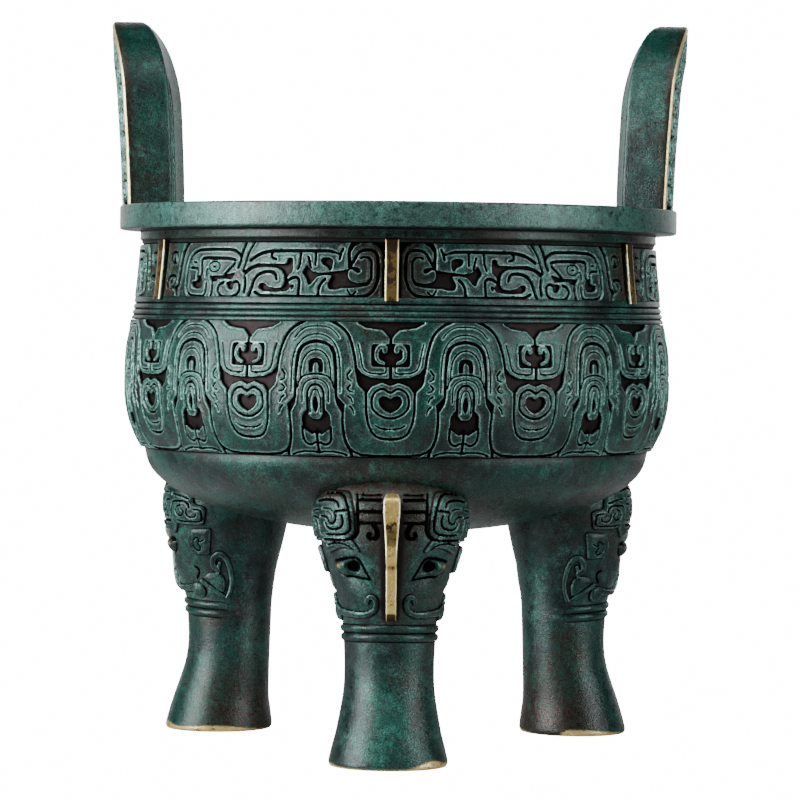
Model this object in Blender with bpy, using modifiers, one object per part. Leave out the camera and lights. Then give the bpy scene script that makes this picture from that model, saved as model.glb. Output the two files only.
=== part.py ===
"""A desk-size bronze ding: a round-bellied vessel on three legs with two upright handles.

It is one casting, so everything is joined into one hollow solid. Metres, +Z up. The origin is
the middle of the footprint, on the plane the feet stand on. The front is -Y: one leg, one
flange and one heart of the wave band face that way, and the handles stand at -X and +X.
An azimuth is measured from the front towards +X.
"""
import math

import bmesh
import bpy
from mathutils import Vector

MM = 0.001

# Driving dimensions, in millimetres where a name has no unit.
RIM_RADIUS = 95.0
RIM_TOP = 182.0
RIM_UNDERSIDE = 174.2
MOUTH_RADIUS = 80.0
OVERALL_HEIGHT = 245.0
TURN_STEPS = 36
TURN_START = math.radians(2.3)  # keeps the facets' edges clear of the carving's corners

FLAT_ANGLE = math.radians(3.0)  # faces closer than this to one plane are made one
RELIEF = 1.3               # height of the carving above its ground
ROOT = 1.2                 # how far a carved piece is sunk into the wall it stands on

FRIEZE = (151.3, 168.5)    # lower and upper edge of the dragon frieze's ground
WAVE_BAND = (100.9, 142.9)  # lower and upper edge of the wave band's ground
WAVE_UNITS = 12
FLANGES = 6
LEGS = 3

# Radius of the belly's finished face against height, carving included.
BELLY_FACE = [(100.2, 87.1), (105.0, 89.7), (111.0, 91.7), (117.0, 92.7), (122.0, 92.9),
              (128.0, 92.8), (134.0, 92.4), (140.0, 91.4), (144.0, 90.8), (150.8, 89.6),
              (158.0, 88.8), (168.5, 87.9), (173.4, 88.1)]
RIDGES = [(151.1, 0.0), (148.9, 0.8), (147.7, 0.0), (146.3, 0.8), (144.4, 0.0)]  # height, cut
BELLY_STEPS = (126.0, 110.0)  # heights where the belly's profile turns inside the wave band
BAND_RADIUS = 92.9         # arc lengths on the wave band are measured at this radius
NECK_TOP = 173.4
NECK_RADIUS = 88.8         # arc lengths on the frieze are measured at this radius

# The round bottom is a half ellipse, outside and inside.
BOTTOM_CENTRE = 98.5
BOTTOM_OUTSIDE = (85.0, 26.8)
BOTTOM_INSIDE = (80.4, 22.2)
BOTTOM_ANGLES = (11.0, 31.0, 56.0, 90.0)

# Inside face of the wall from the mouth down to the bottom curve: radius, height.
CAVITY_SIDE = [(MOUTH_RADIUS, 175.0), (86.8, 144.0), (86.6, 113.0)]

# A handle is a round-topped arch with a slot, bent to the curve of the rim.
HANDLE_HALF_WIDTH = 32.0
HANDLE_ARC_RADIUS = 95.0
HANDLE_SPRING = 217.0      # height where the round top starts
HANDLE_BAND = 13.0         # width of the arch round its slot
HANDLE_SLOT_FLOOR = 184.0
HANDLE_ROOT = 178.0
HANDLE_RELIEF = 1.0        # height of the carving on the outer face
HANDLE_BORDER = (0.5, 3.0)  # distance of the border's two edges from the handle's own edge
HANDLE_BENDS = (-19.0, 0.0, 19.0)  # arc lengths where the handle's faces turn with the rim
HANDLE_OUTER = [(174.0, 94.9), (182.0, 94.9), (216.0, 96.7), (245.0, 98.2)]
HANDLE_INNER = [(174.0, 80.6), (182.0, 80.6), (205.0, 81.7), (227.0, 83.5), (236.0, 84.3),
                (241.0, 85.2), (245.0, 87.4)]

# Leg sections from the bowl down: height, distance of the centre from the axis,
# half width across the leg, half depth along the radius.
LEG_SECTIONS = [(91.5, 66.0, 21.5, 18.0), (87.0, 67.6, 24.2, 20.9), (76.0, 68.4, 24.2, 21.0),
                (56.0, 69.1, 17.5, 17.6), (45.5, 68.0, 15.1, 15.0),
                (44.2, 68.0, 16.2, 16.0), (42.7, 67.9, 15.1, 14.9), (41.3, 67.8, 16.0, 15.7),
                (39.8, 67.8, 14.9, 14.6), (23.0, 68.6, 15.0, 14.8), (12.0, 70.8, 16.9, 16.5),
                (1.4, 72.0, 19.4, 18.4), (0.0, 72.0, 18.6, 17.6)]
LEG_SIDES = 14
LEG_ARC_RADIUS = 20.0      # arc lengths round a leg are measured at this radius

# Nose flange of a leg mask in its radial plane: distance from the axis, height.
NOSE_PROFILE = [(86.0, 88.0), (91.6, 87.2), (92.6, 76.0), (94.2, 69.5), (93.2, 66.4),
                (91.0, 64.6), (90.9, 59.0), (89.4, 50.0), (86.6, 46.6), (80.0, 46.6),
                (80.0, 84.0)]
NOSE_WIDTH = 4.6

FLANGE_WIDTH = 4.8
FLANGE_HEIGHTS = (151.0, 168.3)
FLANGE_PROUD = 1.4


def interpolate(table, height):
    """Straight-line value at a height in a table of (height, value) rising with height."""
    if height <= table[0][0]:
        return table[0][1]
    for (low, first), (high, second) in zip(table, table[1:]):
        if height <= high:
            return first + (second - first) * (height - low) / (high - low)
    return table[-1][1]


def polar(radius, azimuth, height):
    """Point at a radius and azimuth, given in millimetres and radians."""
    return Vector((radius * math.sin(azimuth), -radius * math.cos(azimuth), height)) * MM


def mirrored(points):
    """The same outline on the other side of the line u = 0."""
    return [(-u, v) for u, v in reversed(points)]


def both_sides(half):
    """A closed outline from its right half, whose end points may lie on the line u = 0."""
    left = [(-u, v) for u, v in reversed(half) if u > 0.0]
    return list(half) + left


def stroke(path, width):
    """Outline of a bar of even width along a path."""
    left, right = [], []
    for index, point in enumerate(path):
        before = Vector(path[max(index - 1, 0)])
        after = Vector(path[min(index + 1, len(path) - 1)])
        side = (after - before).normalized().orthogonal() * width / 2.0
        left.append((point[0] + side.x, point[1] + side.y))
        right.append((point[0] - side.x, point[1] - side.y))
    return left + right[::-1]


def raised(target, loops, low, high, place, cuts_u=(), cuts_v=()):
    """Add a block with a drawn outline to a bmesh, wrapped onto a surface by place(u, v, depth).

    The first loop is the outline and any further ones are holes. The cuts divide the face so
    that it follows a curved wall.
    """
    block = bmesh.new()
    edges = []
    for loop in loops:
        corners = [block.verts.new((u, v, low)) for u, v in loop]
        for index, corner in enumerate(corners):
            edges.append(block.edges.new((corner, corners[(index + 1) % len(corners)])))
    bmesh.ops.triangle_fill(block, use_beauty=True, edges=edges, normal=(0, 0, 1))
    planes = [((cut, 0, 0), (1, 0, 0)) for cut in cuts_u]
    planes += [((0, cut, 0), (0, 1, 0)) for cut in cuts_v]
    for point, normal in planes:
        everything = block.verts[:] + block.edges[:] + block.faces[:]
        bmesh.ops.bisect_plane(block, geom=everything, dist=0.01, plane_co=point, plane_no=normal)
    lifted = bmesh.ops.extrude_face_region(block, geom=block.faces[:])["geom"]
    for item in lifted:
        if isinstance(item, bmesh.types.BMVert):
            item.co.z = high
    bmesh.ops.recalc_face_normals(block, faces=block.faces[:])
    for vert in block.verts:
        vert.co = place(*vert.co)
    mesh = bpy.data.meshes.new("block")
    block.to_mesh(mesh)
    block.free()
    target.from_mesh(mesh)
    bpy.data.meshes.remove(mesh)


def belly_place(azimuth):
    """Map (arc length, height above the wave band's foot, depth) onto the belly's face."""
    def place(u, v, depth):
        height = WAVE_BAND[0] + v
        radius = interpolate(BELLY_FACE, height)
        return polar(radius + depth, azimuth + u / BAND_RADIUS, height)
    return place


def frieze_place(azimuth, side):
    """Map (arc length from a flange, height above the frieze's foot, depth) onto the neck."""
    def place(u, v, depth):
        height = FRIEZE[0] + v
        radius = interpolate(BELLY_FACE, height)
        return polar(radius + depth, azimuth + side * u / NECK_RADIUS, height)
    return place


def leg_place(azimuth):
    """Map (arc length round the leg from its outer face, height, depth) onto a leg."""
    outward = Vector((math.sin(azimuth), -math.cos(azimuth), 0.0))
    across = Vector((math.cos(azimuth), math.sin(azimuth), 0.0))
    rising = sorted(LEG_SECTIONS)

    def place(u, v, depth):
        centre = interpolate([(row[0], row[1]) for row in rising], v)
        half_width = interpolate([(row[0], row[2]) for row in rising], v) + depth
        half_depth = interpolate([(row[0], row[3]) for row in rising], v) + depth
        turn = u / LEG_ARC_RADIUS
        flat = outward * (centre + half_depth * math.cos(turn)) + across * half_width * math.sin(turn)
        return (flat + Vector((0.0, 0.0, v))) * MM
    return place


def handle_place(azimuth, radius_low, radius_high):
    """Map (arc length, height, share of the thickness) between two faces of a handle."""
    def place(u, v, share):
        inner = radius_low(v)
        radius = inner + (radius_high(v) - inner) * share
        return polar(radius, azimuth + u / HANDLE_ARC_RADIUS, v)
    return place


def new_object(name, bm, collection, material, helper=True):
    """Make an object of a bmesh; helpers only feed Boolean modifiers."""
    bmesh.ops.recalc_face_normals(bm, faces=bm.faces[:])
    mesh = bpy.data.meshes.new(name)
    bm.to_mesh(mesh)
    bm.free()
    mesh.materials.append(material)
    obj = bpy.data.objects.new(name, mesh)
    collection.objects.link(obj)
    if helper:
        obj.hide_render = True
        obj.display_type = "WIRE"
    return obj


def bottom_curve(half_axes):
    """Points of the round bottom, from near its edge to the axis."""
    points = []
    for angle in BOTTOM_ANGLES:
        turn = math.radians(angle)
        radius = half_axes[0] * math.cos(turn) if angle < 90.0 else 0.0
        points.append((radius, BOTTOM_CENTRE - half_axes[1] * math.sin(turn)))
    return points


def turned(name, profile, collection, material, helper):
    """A turned solid from a profile of (radius, height) that runs down its outer side."""
    mesh = bpy.data.meshes.new(name)
    points = [polar(radius, TURN_START, height) for radius, height in profile]
    mesh.from_pydata(points, [(i, i + 1) for i in range(len(points) - 1)], [])
    mesh.materials.append(material)
    obj = bpy.data.objects.new(name, mesh)
    collection.objects.link(obj)
    screw = obj.modifiers.new("turn", "SCREW")
    screw.axis = "Z"
    screw.angle = math.tau
    screw.steps = TURN_STEPS
    screw.render_steps = TURN_STEPS
    screw.use_merge_vertices = True
    screw.merge_threshold = 0.00001
    screw.use_smooth_shade = False
    if helper:
        obj.hide_render = True
        obj.display_type = "WIRE"
    return obj


def belly_profile():
    """Outer profile of the vessel, with the carved zones cut back to their ground."""
    profile = [(0.0, RIM_TOP), (RIM_RADIUS, RIM_TOP), (RIM_RADIUS, RIM_UNDERSIDE)]
    for height in (NECK_TOP, FRIEZE[1] + 0.5):
        profile.append((interpolate(BELLY_FACE, height), height))
    for height in (FRIEZE[1], FRIEZE[0]):
        profile.append((interpolate(BELLY_FACE, height) - RELIEF, height))
    for height, cut in RIDGES:
        profile.append((interpolate(BELLY_FACE, height) - cut, height))
    for height in (WAVE_BAND[1], *BELLY_STEPS, WAVE_BAND[0]):
        profile.append((interpolate(BELLY_FACE, height) - RELIEF, height))
    profile.append((BELLY_FACE[0][1], BELLY_FACE[0][0]))
    return profile + bottom_curve(BOTTOM_OUTSIDE)


def cavity_profile():
    """Profile of the hollow inside, carried above the rim so that the mouth is cut open."""
    above = RIM_TOP + 1.0
    profile = [(0.0, above), (MOUTH_RADIUS, above)] + CAVITY_SIDE
    return profile + bottom_curve(BOTTOM_INSIDE)


def leg(bm, azimuth):
    """Loft one leg from its sections."""
    place = leg_place(azimuth)
    rings = []
    for section in LEG_SECTIONS:
        ring = [bm.verts.new(place(math.tau * LEG_ARC_RADIUS * side / LEG_SIDES, section[0], 0.0))
                for side in range(LEG_SIDES)]
        rings.append(ring)
        for index, vert in enumerate(ring):
            bm.edges.new((vert, ring[(index + 1) % LEG_SIDES]))
    for upper, lower in zip(rings, rings[1:]):
        loops = [edge for vert in upper + lower for edge in vert.link_edges
                 if {edge.verts[0], edge.verts[1]} <= set(upper)
                 or {edge.verts[0], edge.verts[1]} <= set(lower)]
        bmesh.ops.bridge_loops(bm, edges=list(set(loops)))
    bm.faces.new(rings[0])
    bm.faces.new(rings[-1])


def nose(bm, azimuth):
    """The thin flange that makes the nose of a leg mask."""
    outward = Vector((math.sin(azimuth), -math.cos(azimuth), 0.0))
    across = Vector((math.cos(azimuth), math.sin(azimuth), 0.0))
    raised(bm, [NOSE_PROFILE], -NOSE_WIDTH / 2.0, NOSE_WIDTH / 2.0,
           lambda u, v, depth: (outward * u + across * depth + Vector((0, 0, v))) * MM)


def mask(bm, azimuth):
    """Raised features of the animal mask on one leg, as arc length round the leg and height."""
    place = leg_place(azimuth)
    horn = [(10.2, 72.6), (24.0, 72.0), (27.6, 79.0), (24.0, 88.0), (10.4, 87.4)]
    eye = [(8.4, 61.2), (14.7, 60.4), (21.0, 63.6), (14.8, 67.6)]
    ear_tab = [(27.6, 62.4), (35.0, 62.6), (35.0, 70.6), (27.6, 70.4)]
    lip = stroke([(5.4, 55.6), (7.0, 50.2), (25.0, 50.8)], 2.8)
    hook = stroke([(34.6, 56.4), (39.6, 59.8), (43.0, 53.4), (36.0, 47.4)], 2.8)
    features = [(horn, 1.5), (eye, 1.3), (ear_tab, 1.1), (lip, 1.3), (hook, 1.2)]
    for outline, proud in features:
        for side in (outline, mirrored(outline)):
            raised(bm, [side], -ROOT, proud, place)


def wave_ribbon(bm):
    """The wavy ribbon that runs round the belly: two edges bridged, then given depth."""
    upper = [(0.0, 5.6), (6.2, 9.4), (8.4, 19.0), (11.4, 24.6), (12.6, 37.4), (24.1, 41.8)]
    lower = [(0.0, 0.3), (11.4, 3.2), (14.6, 15.0), (17.0, 20.0), (18.2, 31.4), (24.1, 36.3)]
    rings = []
    for edge in (upper, lower):
        half = edge[:-1]
        path = [(-u, v) for u, v in edge[:0:-1]] + half
        ring = []
        for unit in range(WAVE_UNITS):
            place = belly_place(math.tau * unit / WAVE_UNITS)
            ring += [bm.verts.new(place(u, v, 0.0)) for u, v in path]
        rings.append(ring)
    loops = []
    for ring in rings:
        loops += [bm.edges.new((vert, ring[(i + 1) % len(ring)])) for i, vert in enumerate(ring)]
    faces = bmesh.ops.bridge_loops(bm, edges=loops)["faces"]
    sunk = bmesh.ops.extrude_face_region(bm, geom=faces)["geom"]
    for item in sunk:
        if isinstance(item, bmesh.types.BMVert):
            outward = Vector((item.co.x, item.co.y, 0.0)).normalized()
            item.co -= outward * (RELIEF + ROOT) * MM


def wave_unit(bm, unit):
    """Heart and brows in one trough of the wave, and the arched figure in the next crest."""
    trough = belly_place(math.tau * unit / WAVE_UNITS)
    crest = belly_place(math.tau * (unit + 0.5) / WAVE_UNITS)
    low = -RELIEF - ROOT
    heart = both_sides([(0.0, 7.0), (5.6, 11.0), (7.0, 20.4), (3.6, 23.2), (0.0, 22.0)])
    heart_ground = both_sides([(0.0, 13.2), (3.2, 18.4), (0.0, 17.4)])
    raised(bm, [heart, heart_ground], low, 0.0, trough)
    brow = [(0.8, 37.0), (3.8, 40.4), (9.8, 38.4), (8.8, 27.0), (0.8, 24.6), (5.2, 31.8)]
    for outline in (brow, mirrored(brow)):
        raised(bm, [outline], low, 0.0, trough)
    figure = both_sides([(0.0, 34.4), (4.2, 31.0), (5.8, 18.0), (11.0, 1.6), (0.0, 1.6)])
    ground = [(-4.4, 6.4), (4.4, 6.4), (0.0, 14.4)]
    raised(bm, [figure, ground], low, 0.0, crest, cuts_u=(0.0,))


def frieze_section(bm, azimuth, side):
    """One dragon of the frieze, from the flange at its tail to the flange at its head."""
    place = frieze_place(azimuth, side)
    strokes = [([(12.0, 14.8), (5.0, 13.8), (5.6, 1.8), (34.0, 1.8)], 2.2),
               ([(15.8, 15.4), (42.0, 15.4), (49.4, 8.8)], 2.2),
               ([(8.8, 9.6), (20.0, 5.8), (26.0, 12.0), (41.0, 11.6)], 2.4),
               ([(37.6, 2.2), (46.4, 2.4), (46.0, 8.0), (36.8, 7.4)], 2.0),
               ([(53.6, 15.2), (74.8, 14.4), (76.4, 2.0)], 2.2),
               ([(53.6, 6.0), (54.6, 1.8), (71.0, 1.8), (71.6, 10.0)], 2.2),
               ([(81.0, 14.8), (86.4, 1.8)], 2.8)]
    outlines = [stroke(path, width) for path, width in strokes]
    outlines.append([(56.6, 9.4), (62.0, 6.8), (68.0, 9.6), (62.4, 12.2)])
    for outline in outlines:
        raised(bm, [outline if side > 0 else outline[::-1]], -RELIEF - ROOT, 0.0, place)


def flange(bm, azimuth):
    """An upright flange of the frieze, standing a little proud of the carving."""
    bottom, top = FLANGE_HEIGHTS
    half = FLANGE_WIDTH / 2.0
    corners = [(-half, bottom), (half, bottom), (half, top), (-half, top)]
    raised(bm, [corners], -RELIEF - ROOT, FLANGE_PROUD,
           lambda u, v, depth: polar(interpolate(BELLY_FACE, v) + depth, azimuth + u / NECK_RADIUS, v))


def arch(half_width, top, foot, steps):
    """A round-topped arch outline: straight sides up to the spring, then a half ellipse."""
    rise = top - HANDLE_SPRING
    points = [(half_width, foot)]
    for step in range(steps + 1):
        turn = math.pi * step / steps
        points.append((half_width * math.cos(turn), HANDLE_SPRING + rise * math.sin(turn)))
    return points + [(-half_width, foot)]


def handle(bm, azimuth):
    """One arch-shaped handle with its slot."""
    outer = arch(HANDLE_HALF_WIDTH, OVERALL_HEIGHT, HANDLE_ROOT, 10)
    slot = arch(HANDLE_HALF_WIDTH - HANDLE_BAND, OVERALL_HEIGHT - HANDLE_BAND, HANDLE_SLOT_FLOOR, 8)
    place = handle_place(azimuth, lambda v: interpolate(HANDLE_INNER, v),
                         lambda v: interpolate(HANDLE_OUTER, v) - HANDLE_RELIEF)
    raised(bm, [outer, slot], 0.0, 1.0, place, cuts_u=HANDLE_BENDS)


def handle_carving(bm, azimuth):
    """Border and two confronted dragons on the outer face of a handle."""
    place = handle_place(azimuth, lambda v: interpolate(HANDLE_OUTER, v) - 2.0 * HANDLE_RELIEF,
                         lambda v: interpolate(HANDLE_OUTER, v))
    near, far = HANDLE_BORDER
    outside = arch(HANDLE_HALF_WIDTH - near, OVERALL_HEIGHT - near, RIM_TOP + near, 8)
    inside = arch(HANDLE_HALF_WIDTH - far, OVERALL_HEIGHT - far, RIM_TOP + far, 6)
    raised(bm, [outside, inside], 0.0, 1.0, place)
    body = stroke([(26.0, 192.0), (22.4, 212.0), (21.0, 227.0), (5.0, 237.0)], 2.8)
    for outline in (body, mirrored(body)):
        raised(bm, [outline], 0.0, 1.0, place)


def bronze():
    """Dark green patinated bronze."""
    material = bpy.data.materials.new("patinated_bronze")
    material.use_nodes = True
    shader = material.node_tree.nodes["Principled BSDF"]
    shader.inputs["Base Color"].default_value = (0.035, 0.11, 0.09, 1.0)
    shader.inputs["Roughness"].default_value = 0.45
    shader.inputs["Metallic"].default_value = 0.6
    return material


def combine(body, tool, operation):
    """Add a Boolean modifier that joins a helper to the body or cuts with it."""
    modifier = body.modifiers.new(tool.name, "BOOLEAN")
    modifier.operation = operation
    modifier.object = tool
    modifier.solver = "EXACT"
    modifier.use_self = True


def around(count, make, *args):
    """Collect a part made at each of a number of even azimuths, the first at the front."""
    bm = bmesh.new()
    for index in range(count):
        make(bm, math.tau * index / count, *args)
    return bm


def main():
    for obj in list(bpy.data.objects):
        bpy.data.objects.remove(obj, do_unlink=True)
    scene = bpy.context.scene.collection
    vessel_parts = bpy.data.collections.new("bronze_ding")
    helpers = bpy.data.collections.new("cutters")
    scene.children.link(vessel_parts)
    scene.children.link(helpers)
    material = bronze()

    body = turned("ding_vessel", belly_profile(), vessel_parts, material, False)
    tools = [new_object("legs", around(LEGS, leg), helpers, material),
             new_object("masks", around(LEGS, mask), helpers, material),
             new_object("noses", around(LEGS, nose), helpers, material)]

    handles, handle_reliefs = bmesh.new(), bmesh.new()
    for azimuth in (-math.pi / 2.0, math.pi / 2.0):
        handle(handles, azimuth)
        handle_carving(handle_reliefs, azimuth)
    tools.append(new_object("handles", handles, helpers, material))
    tools.append(new_object("handle_reliefs", handle_reliefs, helpers, material))

    ribbon = bmesh.new()
    wave_ribbon(ribbon)
    tools.append(new_object("wave_ribbon", ribbon, helpers, material))
    figures = bmesh.new()
    for unit in range(WAVE_UNITS):
        wave_unit(figures, unit)
    tools.append(new_object("wave_figures", figures, helpers, material))

    frieze = bmesh.new()
    for index in range(LEGS):
        for side in (-1, 1):
            frieze_section(frieze, math.tau * index / LEGS, side)
    tools.append(new_object("frieze", frieze, helpers, material))
    tools.append(new_object("flanges", around(FLANGES, flange), helpers, material))

    for tool in tools:
        combine(body, tool, "UNION")
    cavity = turned("cavity", cavity_profile(), helpers, material, True)
    combine(body, cavity, "DIFFERENCE")
    tidy = body.modifiers.new("tidy", "DECIMATE")
    tidy.decimate_type = "DISSOLVE"
    tidy.angle_limit = FLAT_ANGLE


main()
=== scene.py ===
import math
from functools import partial

import bmesh
import bpy
import numpy as np
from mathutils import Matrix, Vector


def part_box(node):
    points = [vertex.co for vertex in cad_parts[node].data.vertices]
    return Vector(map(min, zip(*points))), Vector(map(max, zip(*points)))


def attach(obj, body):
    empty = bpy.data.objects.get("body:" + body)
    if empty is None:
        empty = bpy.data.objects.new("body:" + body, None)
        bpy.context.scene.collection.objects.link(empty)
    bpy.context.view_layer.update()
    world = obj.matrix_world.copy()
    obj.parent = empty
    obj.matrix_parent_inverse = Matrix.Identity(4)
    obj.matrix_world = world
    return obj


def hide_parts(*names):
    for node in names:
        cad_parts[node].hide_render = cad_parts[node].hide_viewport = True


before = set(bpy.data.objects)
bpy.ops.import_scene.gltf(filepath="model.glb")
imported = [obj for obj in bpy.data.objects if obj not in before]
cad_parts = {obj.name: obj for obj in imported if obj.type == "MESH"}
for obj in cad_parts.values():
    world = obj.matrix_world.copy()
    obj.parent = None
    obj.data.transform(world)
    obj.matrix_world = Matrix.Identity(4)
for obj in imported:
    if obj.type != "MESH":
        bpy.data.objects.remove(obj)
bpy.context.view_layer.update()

VESSEL = "ding_vessel"
SLOT = "patinated_bronze"
DRAWN_HEIGHT = 245.0
LOWEST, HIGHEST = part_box(VESSEL)
MM = (HIGHEST[2] - LOWEST[2]) / DRAWN_HEIGHT   # one drawn millimetre in the frame's metres
RIGHT_ANGLE = math.pi / 2.0

RIM_RADIUS = 95.0
RIM_TOP = 182.0
RIM_UNDERSIDE = 173.8
MOUTH_RADIUS = 80.0
RELIEF = 1.3          # height of the carving above its ground
LINE_DEPTH = 0.75     # depth of the lines cut into the carving
LIP = 0.13            # half the width of a carved edge's slope
CELL = 0.36           # spacing of the carved surfaces' grids
RIM_BEAD = 0.21       # rise of the soft bead that runs along a carved edge
BEAD_PLACE = 0.45     # how far the bead runs from the edge
BEAD_WIDTH = 0.35
EDGE_WIDTH = 0.28     # width of the light line on a carved edge: partly rubbed metal, partly painted highlight
SHADE_WIDTH = 0.5     # width of the painted shade on the ground, darkest at the foot of an edge
SLAB = 1.6            # how far a carved band reaches into the wall behind its ground

WAVE_FOOT = 100.4
WAVE_HEIGHT = 43.0
WAVE_UNITS = 12
BAND_RADIUS = 92.9
HALF_UNIT = math.pi * BAND_RADIUS / WAVE_UNITS
FRIEZE_FOOT = 151.2
FRIEZE_TOP = 168.6
FRIEZE_BROWNED = 12.0   # how far the frieze is browned beside each flange
NECK_RADIUS = 88.8
LEGS = 3
LEG_ARC_RADIUS = 20.0

BELLY_FACE = [(98.0, 85.6), (100.2, 87.1), (105.0, 89.7), (111.0, 91.7), (117.0, 92.7),
              (122.0, 92.9), (128.0, 92.8), (134.0, 92.4), (140.0, 91.4), (144.0, 90.8),
              (150.8, 89.6), (158.0, 88.8), (168.5, 87.9), (173.4, 88.1)]
BOTTOM_CENTRE = 98.5
BOTTOM_OUTSIDE = (85.4, 26.8)
BOTTOM_INSIDE = (80.4, 22.2)

# Leg sections: height, distance of the centre from the axis, half width, half depth.
LEG_SECTIONS = [(0.0, 72.0, 18.9, 17.9), (1.4, 71.9, 19.4, 18.4), (6.0, 71.5, 18.4, 17.7),
                (12.0, 70.8, 16.9, 16.5), (23.0, 68.6, 15.0, 14.8), (31.0, 67.8, 14.6, 14.3),
                (39.8, 67.8, 14.9, 14.6), (45.8, 68.0, 15.3, 15.1), (56.0, 69.1, 17.5, 17.4),
                (66.0, 68.9, 20.9, 19.1), (76.0, 68.4, 23.4, 20.4), (84.0, 67.8, 23.9, 20.6),
                (89.0, 66.9, 22.6, 19.2), (92.0, 65.8, 20.6, 17.2), (97.0, 63.0, 16.0, 13.0)]
LEG_RINGS = (44.1, 41.3)
RING_TILT = 0.7       # rise of the rings on the outer face
RING_RISE, RING_HALF = 0.9, 1.2
MASK_FOOT = 46.6
MASK_ROWS = 106
MASK_HALF_ARC = 46.4
MASK_TURN = 0.85      # how far round its leg, to the right, each mask was cast

# How pale the patina is on the rim and on the handles' inner faces, and how brown on the neck
# under the rim and on the bottom round each leg.
RIM_PALENESS = 0.17
NECK_BROWNING = 0.45
LEG_BROWNING = 0.6

HANDLE_HALF_WIDTH = 32.0
HANDLE_SPRING = 217.0
HANDLE_BAND = 13.0
HANDLE_ROOT = 179.0
HANDLE_THICKNESS = 14.0
HANDLE_CORNER, HANDLE_ROUND_CORNER = 1.1, 1.3   # towards the outside and towards the mouth
HANDLE_OUTER = [(174.0, 94.6), (182.0, 94.7), (200.0, 95.5), (216.0, 96.6), (232.0, 97.4), (245.0, 98.0)]
HANDLE_INNER = [(174.0, 79.4), (190.0, 79.5), (205.0, 80.1), (218.0, 80.8), (227.0, 81.6),
                (236.0, 82.8), (241.0, 84.3), (243.6, 85.9), (245.0, 87.9)]

PLATE_FACE = (-1.0, -0.97, -0.88, -0.76, -0.64, -0.3, 0.0, 0.3, 0.64, 0.76, 0.88, 0.97, 1.0)
PLATE_ROUNDING = 0.5
FLANGE_WIDTH = 4.4

DARK_TEAL = (0.0022, 0.0120, 0.0110)
MID_GREEN = (0.0034, 0.041, 0.031)
MINT = (0.031, 0.185, 0.141)
MAUVE_GREY = (0.028, 0.032, 0.036)
BROWN_BLACK = (0.023, 0.0120, 0.0078)
GROUND_BROWN = (0.017, 0.0125, 0.013)
# Near-black of deep hollows: dark patina with painted shade over it.
RECESS_BLACK = (0.0030, 0.0022, 0.0024)
# Pale green of rubbed edges and of the painted highlights along them.
WORN_BRONZE = (0.20, 0.43, 0.37)
BARE_BRASS = (0.63, 0.45, 0.125)
BROWNED_BRASS = (0.050, 0.031, 0.012)
# Painted highlight on bare brass: its glints and bright rims.
BRIGHT_BRASS = (0.96, 0.82, 0.48)
TARNISHED_BRASS = (0.055, 0.036, 0.020)


def soft(value):
    """The value held between 0 and 1."""
    return np.clip(value, 0.0, 1.0)


def spline(points, closed=False, steps=6):
    """Points along a smooth curve through the given ones (Catmull-Rom)."""
    points = [Vector(point) for point in points]
    if closed:
        points = [points[-1], *points, *points[:2]]
    else:
        points = [points[0] * 2.0 - points[1], *points, points[-1] * 2.0 - points[-2]]
    curve = []
    for a, b, c, d in zip(points, points[1:], points[2:], points[3:]):
        for step in range(steps):
            t = step / steps
            curve.append(tuple(0.5 * (2.0 * b + (c - a) * t + (2.0 * a - 5.0 * b + 4.0 * c - d) * t * t
                                      + (3.0 * b - a - 3.0 * c + d) * t ** 3)))
    return curve if closed else curve + [tuple(points[-2])]


def rounded(points, radius, closed=True, steps=3):
    """The path with each corner turned into a small curve of about the given radius."""
    points = [Vector(point) for point in points]
    path = []
    for before, corner, after in zip(points[-1:] + points, points, points[1:] + points[:1]):
        if not closed and (corner is points[0] or corner is points[-1]):
            path.append(tuple(corner))
            continue
        before, after = before - corner, after - corner
        start = corner + before.normalized() * min(radius, before.length * 0.48)
        end = corner + after.normalized() * min(radius, after.length * 0.48)
        for step in range(steps + 1):
            t = step / steps
            path.append(tuple(start * (1 - t) ** 2 + corner * (2 * t * (1 - t)) + end * t * t))
    return path


def both_sides(half):
    """A closed outline from its right half, whose end points lie on the line u = 0."""
    return list(half) + [(-u, v) for u, v in reversed(half) if u > 0.0]


def table(points, column=1):
    """A smooth value against height, through the points of a table."""
    curve = np.array(spline(points, steps=8))
    return lambda height: np.interp(height, curve[:, 0], curve[:, column])


belly_radius = table(BELLY_FACE)
leg_centre, leg_half_width, leg_half_depth = (table(LEG_SECTIONS, column) for column in (1, 2, 3))
handle_outer, handle_inner = table(HANDLE_OUTER), table(HANDLE_INNER)


# ---------------------------------------------------------------- drawn ornament
# A shape is a kind, a path and, unless it is an area, its widths at the path's two ends. Plates
# and bars stand up, hollows and slots go down to the ground, and lines are shallow cuts.

def bar_distance(path, widths, at, closed=False):
    """How far inside a bar along a path each place lies; negative outside."""
    path = np.array(path, float)
    starts, ends = (path, np.roll(path, -1, axis=0)) if closed else (path[:-1], path[1:])
    lengths = np.hypot(*(ends - starts).T)
    along = np.concatenate([[0.0], np.cumsum(lengths)]) / max(lengths.sum(), 1e-9)
    best = np.full(len(at), -1e9)
    for start, end, length, first, last in zip(starts, ends, lengths, along, along[1:]):
        if length < 1e-9:
            continue
        run = end - start
        t = soft(((at - start) @ run) / length ** 2)
        away = np.hypot(*(at - start - t[:, None] * run).T)
        share = first + (last - first) * t
        best = np.maximum(best, (widths[0] + (widths[1] - widths[0]) * share) / 2.0 - away)
    return best


def area_distance(outline, at):
    """How far inside a closed outline each place lies; negative outside."""
    away = -bar_distance(outline, (0.0, 0.0), at, closed=True)
    inside = np.zeros(len(at), bool)
    x, y = at.T
    for (x0, y0), (x1, y1) in zip(outline, outline[1:] + outline[:1]):
        if y0 != y1:
            crosses = (y0 > y) != (y1 > y)
            inside ^= crosses & (x < x0 + (y - y0) * (x1 - x0) / (y1 - y0))
    return np.where(inside, away, -away)


def area(kind, outline):
    """A plate or a hollow."""
    return (kind, outline, None)


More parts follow.
